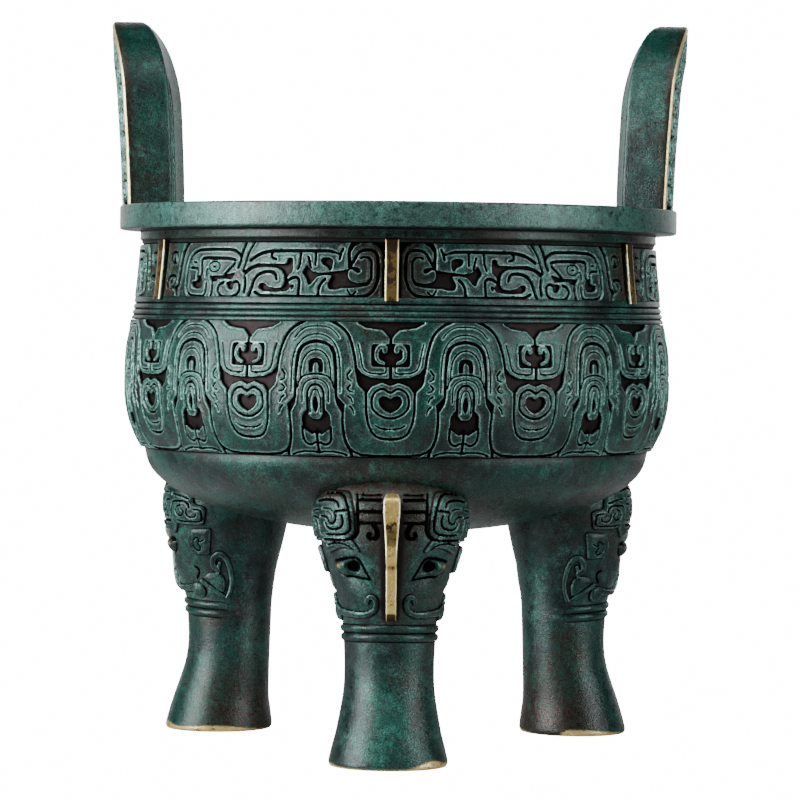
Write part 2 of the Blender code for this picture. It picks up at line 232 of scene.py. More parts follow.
def stroke(kind, width, *points, end=None, smooth=True, corners=0.0):
    """A bar, slot or line that tapers to its end width, along a smooth path or one with rounded corners."""
    path = list(points)
    if corners:
        path = rounded(path, corners, closed=False)
    elif smooth and len(path) > 2:
        path = spline(path)
    return (kind, path, (width, width if end is None else end))


plate, hollow = partial(area, "plate"), partial(area, "hollow")
bar, slot, line = partial(stroke, "bar"), partial(stroke, "slot"), partial(stroke, "line")


def oval(width, centre, radii):
    """A shallow oval line."""
    turns = [math.tau * step / 16 for step in range(17)]
    return line(width, *((centre[0] + radii[0] * math.cos(t), centre[1] + radii[1] * math.sin(t))
                         for t in turns), smooth=False)


def measure(ornament, at):
    """Signed distances of many places to the raised carving's edge and to its cut lines."""
    raised, lines = np.full((2, len(at)), -9.0)
    for kind, path, widths in ornament:
        shape = bar_distance(path, widths, at) if widths else area_distance(path, at)
        if kind in ("plate", "bar"):
            raised = np.maximum(raised, shape)
        elif kind in ("hollow", "slot"):
            raised = np.minimum(raised, -shape)
        else:
            lines = np.maximum(lines, shape)
    return raised, lines


def step_up(distance):
    """Soft step from 0 at the foot of a carved edge to 1 at its top."""
    t = soft((distance + LIP) / (2.0 * LIP))
    return t * t * (3.0 - 2.0 * t)


def carve(ornament, at, skin=False):
    """Slide grid places onto the drawn edges, and give each its height, its recess mark of dark patina and
    painted shade, and its light edge line of rubbed metal and painted highlight.

    On a skin the shapes stand on the face itself, and lines are cut into it as well.
    """
    def nearest(places):
        raised, lines = measure(ornament, places)
        on_line = (np.abs(lines) < np.abs(raised)) & (skin | (raised > 0.0))
        return np.where(on_line, lines, raised)

    nudge = 0.02
    distance = nearest(at)
    slope = np.stack([nearest(at + (nudge, 0.0)) - distance, nearest(at + (0.0, nudge)) - distance], 1)
    slope /= np.maximum(np.hypot(*slope.T), 1e-6)[:, None]
    goal = np.where(distance >= 0.0, LIP, -LIP)
    # Both ends of every grid edge that crosses a drawn edge move to that edge's slope.
    near = np.abs(distance) < 0.98 * CELL * np.maximum(*np.abs(slope.T))
    shift = np.where(near, np.clip(goal - distance, -0.75 * CELL, 0.75 * CELL), 0.0)
    moved = at + slope * shift[:, None]
    raised, lines = measure(ornament, moved)
    top, cut = step_up(raised), step_up(lines)
    inner = np.minimum(np.abs(raised), np.abs(lines))
    # A light line along each carved edge: partly rubbed metal, partly painted highlight.
    wear = (0.4 if skin else 0.95) * np.exp(-(inner / EDGE_WIDTH) ** 2) * top * (1.0 - cut)
    bead = RIM_BEAD * np.exp(-((inner - BEAD_PLACE) / BEAD_WIDTH) ** 2) * top * (1.0 - cut)
    # Painted shade on the ground, darkest at the foot of each edge; with the hollows' and cut lines' own
    # dark patina it makes the recess mark.
    shade = np.exp(-(np.minimum(raised, 0.0) / SHADE_WIDTH) ** 2) * (1.0 - top)
    if skin:
        swell = 0.7 * (1.0 - np.exp(-(np.maximum(raised, 0.0) / 0.9) ** 2))
        height = (RELIEF - 0.25) * top + swell - LINE_DEPTH * cut + bead
        recess = np.maximum(0.8 * shade, cut)
    else:
        height = RELIEF * (top - 1.0) - LINE_DEPTH * cut * top + bead
        recess = np.maximum((0.58 + 0.42 * shade) * (1.0 - top), cut * top)
    return moved, height, recess, wear


# ---------------------------------------------------------------- the drawings

def wave_drawing():
    """Half a unit of the wave band: a heart under its brow, the ribbon beside it, half an arched figure."""
    band = [plate([(-3, -2), (28, -2), (28, 45), (-3, 45)])]
    brow = [
        hollow(both_sides([(0, 37.2), (0.8, 38.4), (2.7, 40.4), (8.4, 41.2), (9.8, 42), (11, 42.6),
            (11, 45), (0, 45)])),
        slot(1, (20.5, 43.5), (18.4, 42.6), (16.4, 41.4), (14.7, 39.9), (13.4, 37.9), (12.5, 35.4),
            (11.7, 32.4), (11.2, 29), (10.9, 26.6), end=0.8),
        hollow(both_sides(rounded([(0, 36), (6.2, 36), (6.3, 33.6), (6.2, 28.8), (0, 28.7)], 0.9,
            closed=False))),
        slot(0.9, (0, 38.8), (0, 36)),
        slot(1, (0, 28.7), (0, 24.8)),
        line(0.45, (1.5, 28.6), (1.6, 26.9), (3, 26.6), (6.3, 26.8), (8.3, 27.7), (9.2, 29.6), (9.6, 32),
            (10.6, 36)),
        bar(1.7, (1.9, 33.9), (2, 35), (3.3, 35.2), (4.3, 34.2), (4.6, 32.5), (4.1, 30.9), (2.3, 29.9),
            end=1.1)]
    heart = [
        hollow(both_sides([(0, 25.1), (1.6, 25), (6.3, 25.4), (9.2, 26.7), (10.6, 28.4), (11.1, 27),
            (10.8, 23.9), (10.2, 22.6), (8.1, 20.7), (7.4, 20.4), (5.9, 22.5), (2.7, 23.7), (0, 22.7)])),
        slot(0.8, (7.9, 20.8), (7.75, 18), (7.75, 15), (7.3, 11.4), (6.6, 9.3), (5.6, 7.4), (3.8, 6.2),
            (1.8, 5.8), (0, 5.7), (-1.8, 5.8)),
        slot(0.75, (-2.4, 21.8), (0, 20.6), (2.4, 21.8), (4.9, 20.7), (5.9, 18.4), (5.6, 15.4), (3.1, 13.2),
            (0, 12.4), (-3.1, 13.2)),
        hollow(both_sides(spline([(0, 18.5), (1.6, 19.5), (3.4, 19), (3.7, 17.1), (2.2, 15.1), (0, 14)]))),
        slot(0.65, (1.3, 8.9), (3.4, 9.3), (4.9, 10.2), end=0.35),
        line(0.4, (-1.5, 8.9), (1.5, 8.9))]
    ribbon = [
        slot(0.75, (-3, 0.25), (5, 0.2), (10, 0.6), (12.4, 1.6), (13.6, 2.6), smooth=False),
        slot(1.1, (26, 36.6), (24.3, 36.8), (20.9, 36), (18.9, 34.3), (18.1, 32.2), (17.8, 29.4),
            (17.6, 25), (17.5, 19.8), (17.1, 17.2), end=0.75),
        slot(1.3, (19.4, 34.9), (18.4, 33), (18, 29.8), (17.7, 27), smooth=False, end=0.8),
        line(0.4, (26, 39.1), (24.3, 39.1), (21.5, 38.6), (19.3, 37.2), (17.6, 34.9), (16.7, 32.2),
            (16.3, 29), (16.2, 24.5), (16.1, 20.5)),
        line(0.35, (26, 41.6), (24.3, 41.6), (21, 41.3), (18.6, 40), (16.7, 37.8)),
        hollow([(17.7, 19.6), (17.3, 16.6), (15.9, 14.4), (15, 15.1), (14.5, 16.6), (15.6, 17.6),
            (16.9, 19)]),
        slot(0.75, (15.2, 15.3), (15.4, 13.4), (15.4, 8.7), (14.8, 4.9), (13.5, 1.9), (13, 0), end=1.1)]
    for comma in (((12.8, 27.6), (13.9, 26.2), (13.7, 24.8), (12.4, 24.2)),
                  ((12.9, 22.9), (13.8, 21.9), (13.2, 20.9), (11.9, 20.7)),
                  ((13.6, 19.4), (12.6, 18.6), (12.1, 17.3)),
                  ((13, 16.2), (12.1, 15.2), (11.7, 13.8))):
        ribbon.append(slot(0.65, *comma, smooth=False, end=0.4))
    figure = [
        hollow(spline([(2.4, 26.9), (2.4, 29.6), (1.7, 31), (0, 31.4), (-1.7, 31), (-2.4, 29.6),
            (-2.4, 26.9)])),
        plate(spline([(0.9, 26.6), (0.85, 29), (0, 30.1), (-0.85, 29), (-0.9, 26.6)])),
        line(0.45, (5, 24.5), (4.9, 28), (4.1, 31.2), (2.3, 33.3), (0, 34), (-2.3, 33.3)),
        line(0.5, (6, 22), (5.6, 23.8), (4.5, 25.3), (2.6, 26.1), (0, 26.3), (-2.6, 26.1)),
        line(0.4, (4.4, 17.4), (4.3, 21.4), (3, 23.8), (0, 24.8), (-3, 23.8)),
        slot(0.7, (2.6, 13.4), (2.8, 16), (2.8, 18.8), (2.5, 21), (1.5, 22.5), (0.1, 23), (-1.5, 22.4),
            (-2.6, 20.6)),
        line(0.35, (1.7, 14), (1.8, 17.8), (0.9, 20.9), (0, 21.4), (-0.9, 20.9)),
        hollow(spline([(0, 19.4), (0.8, 17.6), (0.8, 15.6), (0, 14), (-0.8, 15.6), (-0.8, 17.6)],
            closed=True)),
        hollow(both_sides([(0, 11.8), (1.3, 12), (2.3, 13.4), (2.9, 15), (3.7, 14.4), (4.7, 13.1),
            (4.9, 11.5), (4.7, 9), (3.7, 8.4), (2.4, 7.4), (1.6, 6.9), (0.8, 7.4), (0, 8.4)])),
        slot(0.75, (4.8, 9.4), (4.8, 6.2), (4, 4.3), (2.4, 3.7), (1, 4.4)),
        slot(0.8, (0, 8.6), (0, 4.6), (0, 1.2), smooth=False),
        slot(0.6, (-2, 0.9), (0, 1.1), (3, 1.5), (7, 1.2), (9.6, 0.4))]
    # The figure is drawn from the middle of a wave's crest, half a unit from the heart's middle.
    figure = [(kind, [(HALF_UNIT - u, v) for u, v in path], widths) for kind, path, widths in figure]
    return band + brow + heart + ribbon + figure


def frieze_drawing():
    """One dragon, from the flange at its tail (u = 0) to the flange at its head (u = 93)."""
    drawing = [
        plate([(-3, -1.5), (96, -1.5), (96, 19), (-3, 19)]),
        hollow([(-3, -1.5), (3, -1.5), (3, 19), (-3, 19)]),
        hollow([(89.7, 19), (90.6, -1.5), (96, -1.5), (96, 19)]),
        hollow([(2.9, 19), (2.9, 13.6), (3.5, 15.4), (4.7, 16.6), (6.6, 17.3), (6.6, 19)]),
        hollow([(10.4, 19), (10.4, 17.2), (12.2, 16.3), (13.2, 14.8), (14, 14.6), (13.7, 16.3),
            (12.9, 17.6), (12.6, 19)])]
    grooves = [
        # the tail's loop, and the long line under the body
        (0.95, (12.5, 17.8), (13.6, 16.1), (14, 14.3), (13.8, 11.8), (13.8, 9.4)),
        (0.85, (13.4, 10), (12.1, 12.1), (11.1, 14.1), (9.6, 15.1), (6.4, 15.2), (4.9, 14.2), (4.4, 11.7),
            (4.4, 5.6), (5.8, 2.1), (7.8, 0.5), (13, 0.1), (25.5, 0.1), (44.1, 0.3), (46.2, 1.5)),
        (0.5, (11.4, 1.9), (12.6, 0.7)),
        (0.5, (14.2, 2.4), (13.2, 0.7)),
        # the body
        (0.75, (15.9, 15.5), (16.5, 14.3), (17, 12.2)),
        (0.55, (17.2, 13.9), (19, 14.4)),
        (0.9, (19, 14.4), (20.3, 14.8), (28.5, 14.8), (40.1, 14.7), (43.6, 14.2), (46.1, 13.2),
            (48.6, 11.6)),
        (0.65, (24.9, 14.6), (25, 10.3)),
        (0.65, (30, 14.6), (30.2, 10.8), (31, 8.8)),
        (0.7, (27.5, 12.9), (27, 11.4), (26.5, 9.4)),
        (0.7, (39.8, 14.7), (40.7, 13.3), (40.2, 12.3), (38.8, 12.1)),
        (0.9, (38.4, 5.7), (38.7, 7.1), (39.9, 8.1), (43, 8), (45.4, 7.1), (46.9, 5.2), (47.4, 2.8),
            (48.4, 0.3), (49.5, -1.4)),
        (0.85, (23.7, 0), (23.7, 2.8), (22.9, 4.6), (21.6, 5.8)),
        (0.85, (30.5, 0.2), (30.3, 2.9), (30.2, 5.3), (31.1, 6.3), (32.5, 6.3), (33.9, 5.4)),
        (0.6, (33.4, 3.3), (32.2, 3.9), (32.8, 2.6)),
        # the neck
        (0.65, (46.8, 17.8), (48.4, 15.7), (49.6, 13.6), (50.3, 10.8), (51.3, 8.1)),
        (0.85, (50.1, 18), (51.2, 15.8), (52, 13.6), (52.4, 11.2), (53.3, 9.3)),
        (0.85, (50.4, 6.2), (49.9, 3.7), (50.4, 1.2)),
        # the head, from its crown round to the jaw
        (0.85, (52.5, 13.3), (54.2, 14.6), (56.1, 15.2), (65.1, 15.3), (71.3, 15.1), (74.1, 14),
            (75.8, 12.2), (76.6, 9.1), (76.8, 4.7), (76.6, 1.6), (74.3, 0.2), (67.9, -0.1)),
        (0.9, (54.6, 11.8), (56.9, 12.3), (67.7, 12.5), (69.9, 12.2), (69.5, 9.9), (69.1, 7.1), (70.5, 6)),
        (0.8, (54.8, 10.6), (57, 8.8), (59, 6.8)),
        (0.6, (66.9, 8.9), (67.3, 6.6)),
        (0.85, (55.1, 4.4), (54, 5), (52.6, 4.4), (52.1, 2.5), (52.9, 0.8), (54.8, -0.1), (59.1, -0.2),
            (61.1, 0.9), (61.5, 2.7), (60.6, 4.2), (59, 4.5)),
        (0.8, (65.2, 6.4), (63.9, 4.5), (64, 1.4), (64.9, -1.6)),
        (0.75, (66.9, 4.3), (66.8, 1.5), (67.9, -0.1)),
        (0.6, (73.7, 11.2), (72.3, 11)),
        (0.75, (71.4, 6.2), (71.1, 8.6), (72.3, 9.3), (75.2, 9.3)),
        # the open jaw before the flange
        (1.3, (76.9, 17.9), (79.1, 15.4), (80.2, 12.3), (80.7, 9.1), (81.1, 6), (81.6, 3.6), (83.4, 2.4)),
        (1, (82.4, 2.4), (81.7, -1.4)),
        (0.85, (85, 2.9), (83.3, 4.6), (83.5, 6.6), (86.8, 6.9), (88.3, 5.2), (88.2, 2.8)),
        (0.7, (85.6, 5.2), (86.6, 4.2), (86, 3.4))]
    pockets = [
        [(7.2, 13.1), (9.8, 13.2), (10.7, 12.4), (9.8, 12), (9.3, 12.7), (7.9, 12.6), (6.9, 11.3),
         (6.9, 6.3), (7.9, 4.9), (10.8, 4.5), (13.2, 5.1), (14.2, 6.4), (14.1, 8.2), (13.5, 9.1), (16, 8.5),
         (19.7, 8.1), (23.5, 7.7), (26.4, 8.3), (27.9, 10.5), (28.6, 9.3), (29.6, 7.8), (28, 5.9),
         (27.4, 3.8), (26.4, 4.1), (25.4, 5.3), (24.5, 6.5), (22.2, 7.1), (19.4, 6.9), (20.4, 5.2),
         (20.9, 4), (20.4, 2.5), (17.9, 2.4), (16, 3), (14.2, 2.9), (9.9, 3.3), (7.3, 3.9), (6.2, 6),
         (6.2, 11.8)],
        [(9.8, 8.4), (10.7, 9.5), (12.9, 9.8), (14, 9.2), (12.3, 8.6), (10.8, 7.6)],
        [(19.1, 11.9), (20.3, 12.7), (22.8, 12.6), (23.4, 11.4), (22.2, 10.1), (21, 9.8), (20.3, 8.4),
         (19.4, 8.8)],
        [(32.8, 12.6), (34.6, 12.5), (35, 10.6), (40.2, 10.5), (45.4, 10.7), (48.3, 9.8), (51.2, 8.1),
         (50.5, 6.6), (49, 7.9), (47.2, 9.1), (43, 9.6), (38.5, 9.4), (36.5, 8.3), (35.7, 6.6), (35.6, 4.2),
         (36.5, 3), (38.6, 2.7), (41.6, 3.3), (42.7, 4.4), (44.5, 4.4), (44.7, 2.8), (43.4, 1.8),
         (38.6, 1.6), (34.6, 1.9), (33.4, 2.9), (33.9, 4.5), (34.7, 5.4), (34.2, 6.9), (32.6, 8.4)],
        [(54.2, 7.9), (59, 6.7), (64.3, 6.7), (65.3, 5.8), (63.9, 5.2), (62.7, 4.5), (62.2, 5.4),
         (60.2, 5.9), (57, 5.6), (55.9, 5.5), (54.9, 6.6)],
        [(54.7, 4.4), (56.3, 5), (58, 4.6), (57.6, 2.9), (56.7, 2.2), (54.9, 2.2)],
        [(69.1, 6), (71.4, 6.4), (72, 4.8), (74, 4.9), (74, 3), (71.9, 2.5), (69.2, 2.6), (68.4, 4.3)],
        [(82.6, 12.4), (83.2, 14.4), (85.1, 15.1), (87.1, 14.5), (87.4, 11.6), (86, 10.5), (84, 10.5)]]
    drawing += [hollow(rounded(pocket, 0.5, steps=2)) for pocket in pockets]
    drawing += [slot(1.12 * width, *path, corners=1.2) for width, *path in grooves]
    return drawing + [bar(1.1, (83.6, 11.4), (84.6, 13.4), (85.9, 13.4), (86, 12)),
                      oval(0.5, (63.6, 9.6), (2.5, 1.7)), slot(0.6, (63.2, 9.6), (64, 9.6))]


def mask_drawing():
    """Half an animal mask, as arc length round the leg from its nose, and height."""
    horn = [
        plate(rounded([(12.9, 89), (11.6, 86), (10.8, 82.6), (10.5, 79), (10.4, 77.1), (11.3, 75),
            (13.4, 74.2), (21.5, 74), (25, 72.6), (35.2, 72.2), (36, 78.6), (31.6, 79.4), (31.4, 83),
            (28.5, 84.8), (25.6, 86.6), (22.6, 89.2)], 1.4)),
        line(0.7, (21, 88.1), (16.5, 88.4), (14.4, 88), (13.2, 86.8), (12.3, 84.6), (11.7, 82.2),
            (11.4, 78.9), (11.5, 77.1), (12.5, 75.9), (15, 75.3), (20.4, 75.1)),
        line(0.8, (10.4, 88.2), (9.9, 85.6), (9.7, 82.2), (9.6, 78.8), (9.7, 76.6), (10.9, 74.6),
            (13.4, 73.6), (17.6, 73.5), (21.6, 73.4)),
        line(0.75, (24.2, 85.5), (19.8, 86.2), (16.7, 86.1), (15.4, 85.5), (14.8, 84.3)),
        line(0.7, (12, 83.1), (15, 82.9), (16.2, 82.3), (15.8, 81.2), (15.9, 79.8), (17, 78.8), (18.2, 79),
            (18.7, 80.1), (19.8, 80.9), (21.8, 80.8)),
        line(0.75, (13.8, 81.5), (13.4, 79.8), (13.8, 78.2), (15, 77.3), (17.2, 76.9), (18.9, 77.4),
            (19.7, 78.8)),
        line(0.45, (17, 82.9), (18.3, 83.5), (21, 83.4)),
        line(0.55, (23, 82.9), (26.4, 82.5), (30.3, 81.4)),
        line(0.65, (22.2, 74.9), (22.7, 77.8), (23.3, 80.4), (28.4, 80.6), (30.4, 79.6), (30.6, 78.3),
            corners=0.9),
        line(0.55, (27, 79.2), (25.2, 78.4), (25.2, 76.4), (27, 75.4), (28.3, 76.8), (27.4, 77.9)),
        line(0.5, (25.2, 73.9), (28, 73.4), (34.8, 73.5), (34.7, 77.6), (32.4, 77.8), corners=0.8),
        line(0.5, (29.6, 78), (29.6, 76.2), (30.6, 75.1), (32.6, 75.2), (33, 76.4))]
    brow = [
        plate(spline([(13.4, 75), (11.6, 73.4), (10.4, 71.7), (9.6, 70), (11.8, 70.8), (14.2, 71.2),
            (16.8, 70.8), (19.2, 69.9), (21.6, 69.3), (23.2, 70.6), (23.4, 74.4)], closed=True)),
        line(0.5, (20, 71.7), (17.2, 72.5), (14.2, 72.4), (12.6, 71.8), (11.2, 70.9))]
    bars = [line(width, (3.2, height), (9, height))
            for height, width in ((88, 0.5), (86.5, 1), (82.8, 1.1), (79.2, 1))]
    forehead = [
        line(1.4, (5.3, 79), (4.4, 77.4), (4, 75.7), (4.6, 74.4), (5.8, 74.1), (6.6, 74.9), (6.3, 75.8),
            end=1.3)]
    eye = [
        line(1.1, (20, 66.5), (15.5, 67.4), (12.7, 67.9), (10.9, 67.7), (9.6, 66.2), (8.6, 63.8), (7.1, 61),
            end=0.6),
        line(0.7, (7.1, 61), (10.6, 61.5), (13.6, 61.9), (16.8, 61.9), (19.8, 63.3), (20.4, 65.2)),
        line(3.6, (12.4, 65.2), (12.6, 65.2))]
    lip = [
        bar(2.3, (27.2, 50.4), (23.4, 49.7), (16, 49.4), (10.8, 49.4), (7.2, 50.5), (5.7, 52.3),
            (5.7, 54.2), (6.9, 55.4), (8.5, 55), (9.1, 53.7), end=1.5),
        plate(spline([(25.8, 49.2), (26.9, 51.2), (28.9, 51.9), (31.2, 51.2), (32.2, 49.2), (31.2, 47.3),
            (28.9, 46.8), (26.8, 47.3)], closed=True)),
        bar(1.7, (31.6, 52.4), (35, 50.2), (40.4, 46.9), smooth=False)]
    ear = [
        plate(rounded([(28.3, 66.8), (29.3, 62.3), (36.4, 61.9), (37.7, 71.1), (30.3, 70.8)], 0.8)),
        slot(0.5, *spline([(32.2, 68), (30.9, 66.8), (30.8, 64.9), (32.4, 63.3), (33.5, 64.3), (32.7, 65.8),
            (33.2, 67.3)], closed=True), (32.2, 68), smooth=False),
        line(0.5, (33.6, 66.4), (35.2, 67.2))]
    hook = [
        bar(2.1, (38.9, 56.6), (37.7, 57.6), (37.3, 59.2), (37.9, 60.9), (39.4, 62), (41.3, 61.6),
            (42.9, 59.3), (43.8, 56), (44, 52.4), (43, 49), (41.4, 46.6), end=1.5),
        bar(1.2, (39.4, 58), (39.9, 59)),
        plate(rounded([(32.4, 53.8), (35.1, 55.5), (38.8, 55.6), (40.8, 54.4), (41.4, 52), (40.6, 48.9),
            (39, 49), (35.2, 51.8)], 0.9)),
        line(0.7, (28.7, 57.6), (30.5, 56.7), (30.3, 55), (28.9, 53.4))]
    return horn + brow + bars + forehead + eye + lip + ear + hook


def handle_drawing(length):
    """Half the outer face of a handle: along the arch from its foot, and across from the slot.

    A beaded border runs along both edges, and hooked scrolls between them.
    """
    half, border = length / 2.0, 4.95
    drawing = [plate([(-2, border), (half + 2, border), (half + 2, 9), (-2, 9)]),
               plate([(-2, -9), (half + 2, -9), (half + 2, -border), (-2, -border)])]
    for start in np.arange(1.0, half, 2.7):
        drawing += [bar(1.1, (start, 4.8), (start + 0.7, 6.8)), bar(1.1, (start, -5.2), (start + 0.7, -6.8))]
    for start in np.arange(5.0, half, 8.0):
        for path in (((0, 3.2), (3.4, 3.3), (5.2, 1.8), (4.6, 0), (3, 0.6)),
                     ((7.8, -3.7), (3.6, -3.8), (1.2, -2.6), (1.6, -0.9), (3, -1.2)),
                     ((6.8, 3.2), (7, 1), (6.2, -1.2)), ((0, -4), (-0.4, -1.6), (0.6, 0.8))):
            drawing.append(bar(1.25, *((start + s, t) for s, t in path)))
    return drawing


# ---------------------------------------------------------------- meshes

def sort_faces(bm):
    """Put the faces in the order of their points, so that the mesh is the same every time."""
    bm.verts.index_update()
    total = len(bm.verts)

    def place(face):
        first, second, third = sorted(vert.index for vert in face.verts)[:3]
        return (first * total + second) * total + third

    bm.faces.sort(key=place)


def new_mesh(name, bm):
    """A mesh from a bmesh, which is freed."""
    mesh = bpy.data.meshes.new(name)
    bm.to_mesh(mesh)
    bm.free()
    return mesh


def places_of(mesh):
    """The points of a mesh as an array."""
    places = np.empty(len(mesh.vertices) * 3)
    mesh.vertices.foreach_get("co", places)
    return places.reshape(-1, 3)


def grid_mesh(name, columns, rows):
    """A flat grid, with the column and the row of each of its points."""
    bm = bmesh.new()
    bmesh.ops.create_grid(bm, x_segments=columns, y_segments=rows, size=0.5)
    mesh = new_mesh(name, bm)
    x, y, _ = places_of(mesh).T
    return mesh, np.rint((x + 0.5) * columns).astype(int), np.rint((y + 0.5) * rows).astype(int)


def shaped(mesh, x, y, z, pointed_caps=False, **marks):
    """Move a mesh's points into place, join those that meet, close its ends and store its marks.

    The marks say how deep each point lies, with dark patina and painted shade; how rubbed, pale and painted
    with highlight; how bare of patina; and how browned.
    """
    mesh.vertices.foreach_set("co", (np.stack([x, y, z], 1) * MM).ravel())
    for name, values in marks.items():
        attribute = mesh.attributes.new(name, "FLOAT", "POINT")
        attribute.data.foreach_set("value", np.full(len(z), values, np.float32))
    bm = bmesh.new()
    bm.from_mesh(mesh)
    bmesh.ops.remove_doubles(bm, verts=bm.verts[:], dist=0.01 * MM)
    rims = [edge for edge in bm.edges if edge.is_boundary]
    caps = bmesh.ops.holes_fill(bm, edges=rims, sides=0)["faces"] if rims else []
    for cap in caps if pointed_caps else ():
        bmesh.ops.inset_region(bm, faces=[cap], thickness=2.0 * MM, use_even_offset=False)
        bmesh.ops.poke(bm, faces=[cap])
    squares = [face for face in bm.faces if len(face.verts) == 4]
    bmesh.ops.triangulate(bm, faces=squares, quad_method="SHORT_EDGE")
    bmesh.ops.recalc_face_normals(bm, faces=bm.faces[:])
    sort_faces(bm)
    bm.to_mesh(mesh)
    bm.free()
    return mesh


def turned_copy(mesh, azimuth):
    """A copy of a mesh turned about the vessel's axis, from the front to an azimuth."""
    copy = mesh.copy()
    places = places_of(copy)
    x, y = places[:, 0].copy(), places[:, 1].copy()
    places[:, 0] = x * math.cos(azimuth) - y * math.sin(azimuth)
    places[:, 1] = x * math.sin(azimuth) + y * math.cos(azimuth)
    copy.vertices.foreach_set("co", places.ravel())
    return copy


def slab(columns, rows, closed):
    """A closed slab whose front is a fine grid: x and y from 0 to 1, z 0 in front and -1 behind.

    For a closed ring the two ends are left open, to be joined to each other.
    """
    bm = bmesh.new()
    bmesh.ops.create_grid(bm, x_segments=columns, y_segments=rows, size=0.5)
    bmesh.ops.translate(bm, verts=bm.verts[:], vec=(0.5, 0.5, 0.0))
    backs = []
    for level in (0.0, 1.0):
        row = [edge for edge in bm.edges if edge.is_boundary
               and all(abs(vert.co.y - level) < 1e-6 for vert in edge.verts)]
        made = bmesh.ops.extrude_edge_only(bm, edges=row)["geom"]
        for vert in (item for item in made if isinstance(item, bmesh.types.BMVert)):
            vert.co.z = -1.0
        backs += [item for item in made if isinstance(item, bmesh.types.BMEdge)
                  and all(vert.co.z < -0.5 for vert in item.verts)]
    bmesh.ops.bridge_loops(bm, edges=backs)
    if not closed:
        bmesh.ops.holes_fill(bm, edges=[edge for edge in bm.edges if edge.is_boundary], sides=0)
    bmesh.ops.recalc_face_normals(bm, faces=bm.faces[:])
    return new_mesh("slab", bm)


def carved_band(ornament, azimuth, units, half_unit, arc_radius, foot, height, browned=0.0):
    """A band of mirrored, repeated ornament round the belly, from one half unit's drawing.

    It is browned as far as that distance from both ends of the half unit.
    """
    half_cells, rows = round(half_unit / CELL), round(height / CELL)
    columns = 2 * half_cells * units
    mesh = slab(columns, rows, abs(units * 2.0 * half_unit - math.tau * arc_radius) < 0.01)
    places = places_of(mesh)
    column = np.rint(places[:, 0] * columns).astype(int)
    row = np.rint(places[:, 1] * rows).astype(int)
    # The drawing starts at a mirror line, so odd half units run backwards.
    folded = column % (2 * half_cells)
    backwards = folded > half_cells
    folded = np.where(backwards, 2 * half_cells - folded, folded)
    u, v = np.meshgrid(np.linspace(0.0, half_unit, half_cells + 1),
                       np.linspace(0.0, height, rows + 1), indexing="ij")
    grid = np.stack([u.ravel(), v.ravel()], 1)
    moved, raised, recess, wear = carve(ornament, grid)
    for axis, far in enumerate((half_unit, height)):
        held = (grid[:, axis] < 1e-6) | (grid[:, axis] > far - 1e-6)
        moved[held, axis] = grid[held, axis]
    index = folded * (rows + 1) + row
    slide = (moved - grid)[index]
    slide[:, 0] *= np.where(backwards, -1.0, 1.0)
    start = azimuth - units * half_unit / arc_radius
    turn = start + (column * (half_unit / half_cells) + slide[:, 0]) / arc_radius
    z = foot + grid[index, 1] + slide[:, 1]
    behind = places[:, 2] < -0.5
    radius = belly_radius(z) + np.where(behind, -RELIEF - SLAB, raised[index])
    from_end = np.minimum(grid[index, 0], half_unit - grid[index, 0])
    return shaped(mesh, radius * np.sin(turn), -radius * np.cos(turn), z,
                  recess=np.where(behind, 0.0, recess[index]), wear=np.where(behind, 0.0, wear[index]),
                  bare=0.0, tarnish=soft(1.3 - from_end / max(browned, 0.1)))


# ---------------------------------------------------------------- pieces of the casting

def belly_face(height, cut, recess):
    """A point of the profile, cut that far into the belly's face."""
    return (float(belly_radius(height)) - cut, float(height), recess)


def ridge_profile():
    """A flat fillet under the frieze and three rounded ridges, with narrow grooves between."""
    profile = [belly_face(FRIEZE_FOOT, 0.15, 0.3), belly_face(150.9, 0.0, 0.0), belly_face(149.4, 0.0, 0.0)]
    # Each groove is darkened, and the ridges' feet a little: dark patina and painted shade.
    for middle, half in ((147.95, 0.95), (146.0, 0.9), (144.2, 0.8)):
        profile.append(belly_face(middle + half + 0.1, 0.65, 1.0))
        for share in (0.92, 0.6, 0.2, -0.2, -0.6, -0.92):
            drop = 0.75 * (1.0 - math.sqrt(1.0 - share * share))
            profile.append(belly_face(middle + half * share, drop, 0.0 if abs(share) < 0.8 else 0.5))
    return profile


def half_ellipse(half_axes, steps, start, recess):
    """The round bottom's profile from near its edge to the axis."""
    points = []
    for turn in np.radians(np.linspace(start, 90.0, steps)):
        radius = half_axes[0] * math.cos(turn) if turn < RIGHT_ANGLE - 1e-6 else 0.0
        points.append((radius, BOTTOM_CENTRE - half_axes[1] * math.sin(turn), recess))
    return points


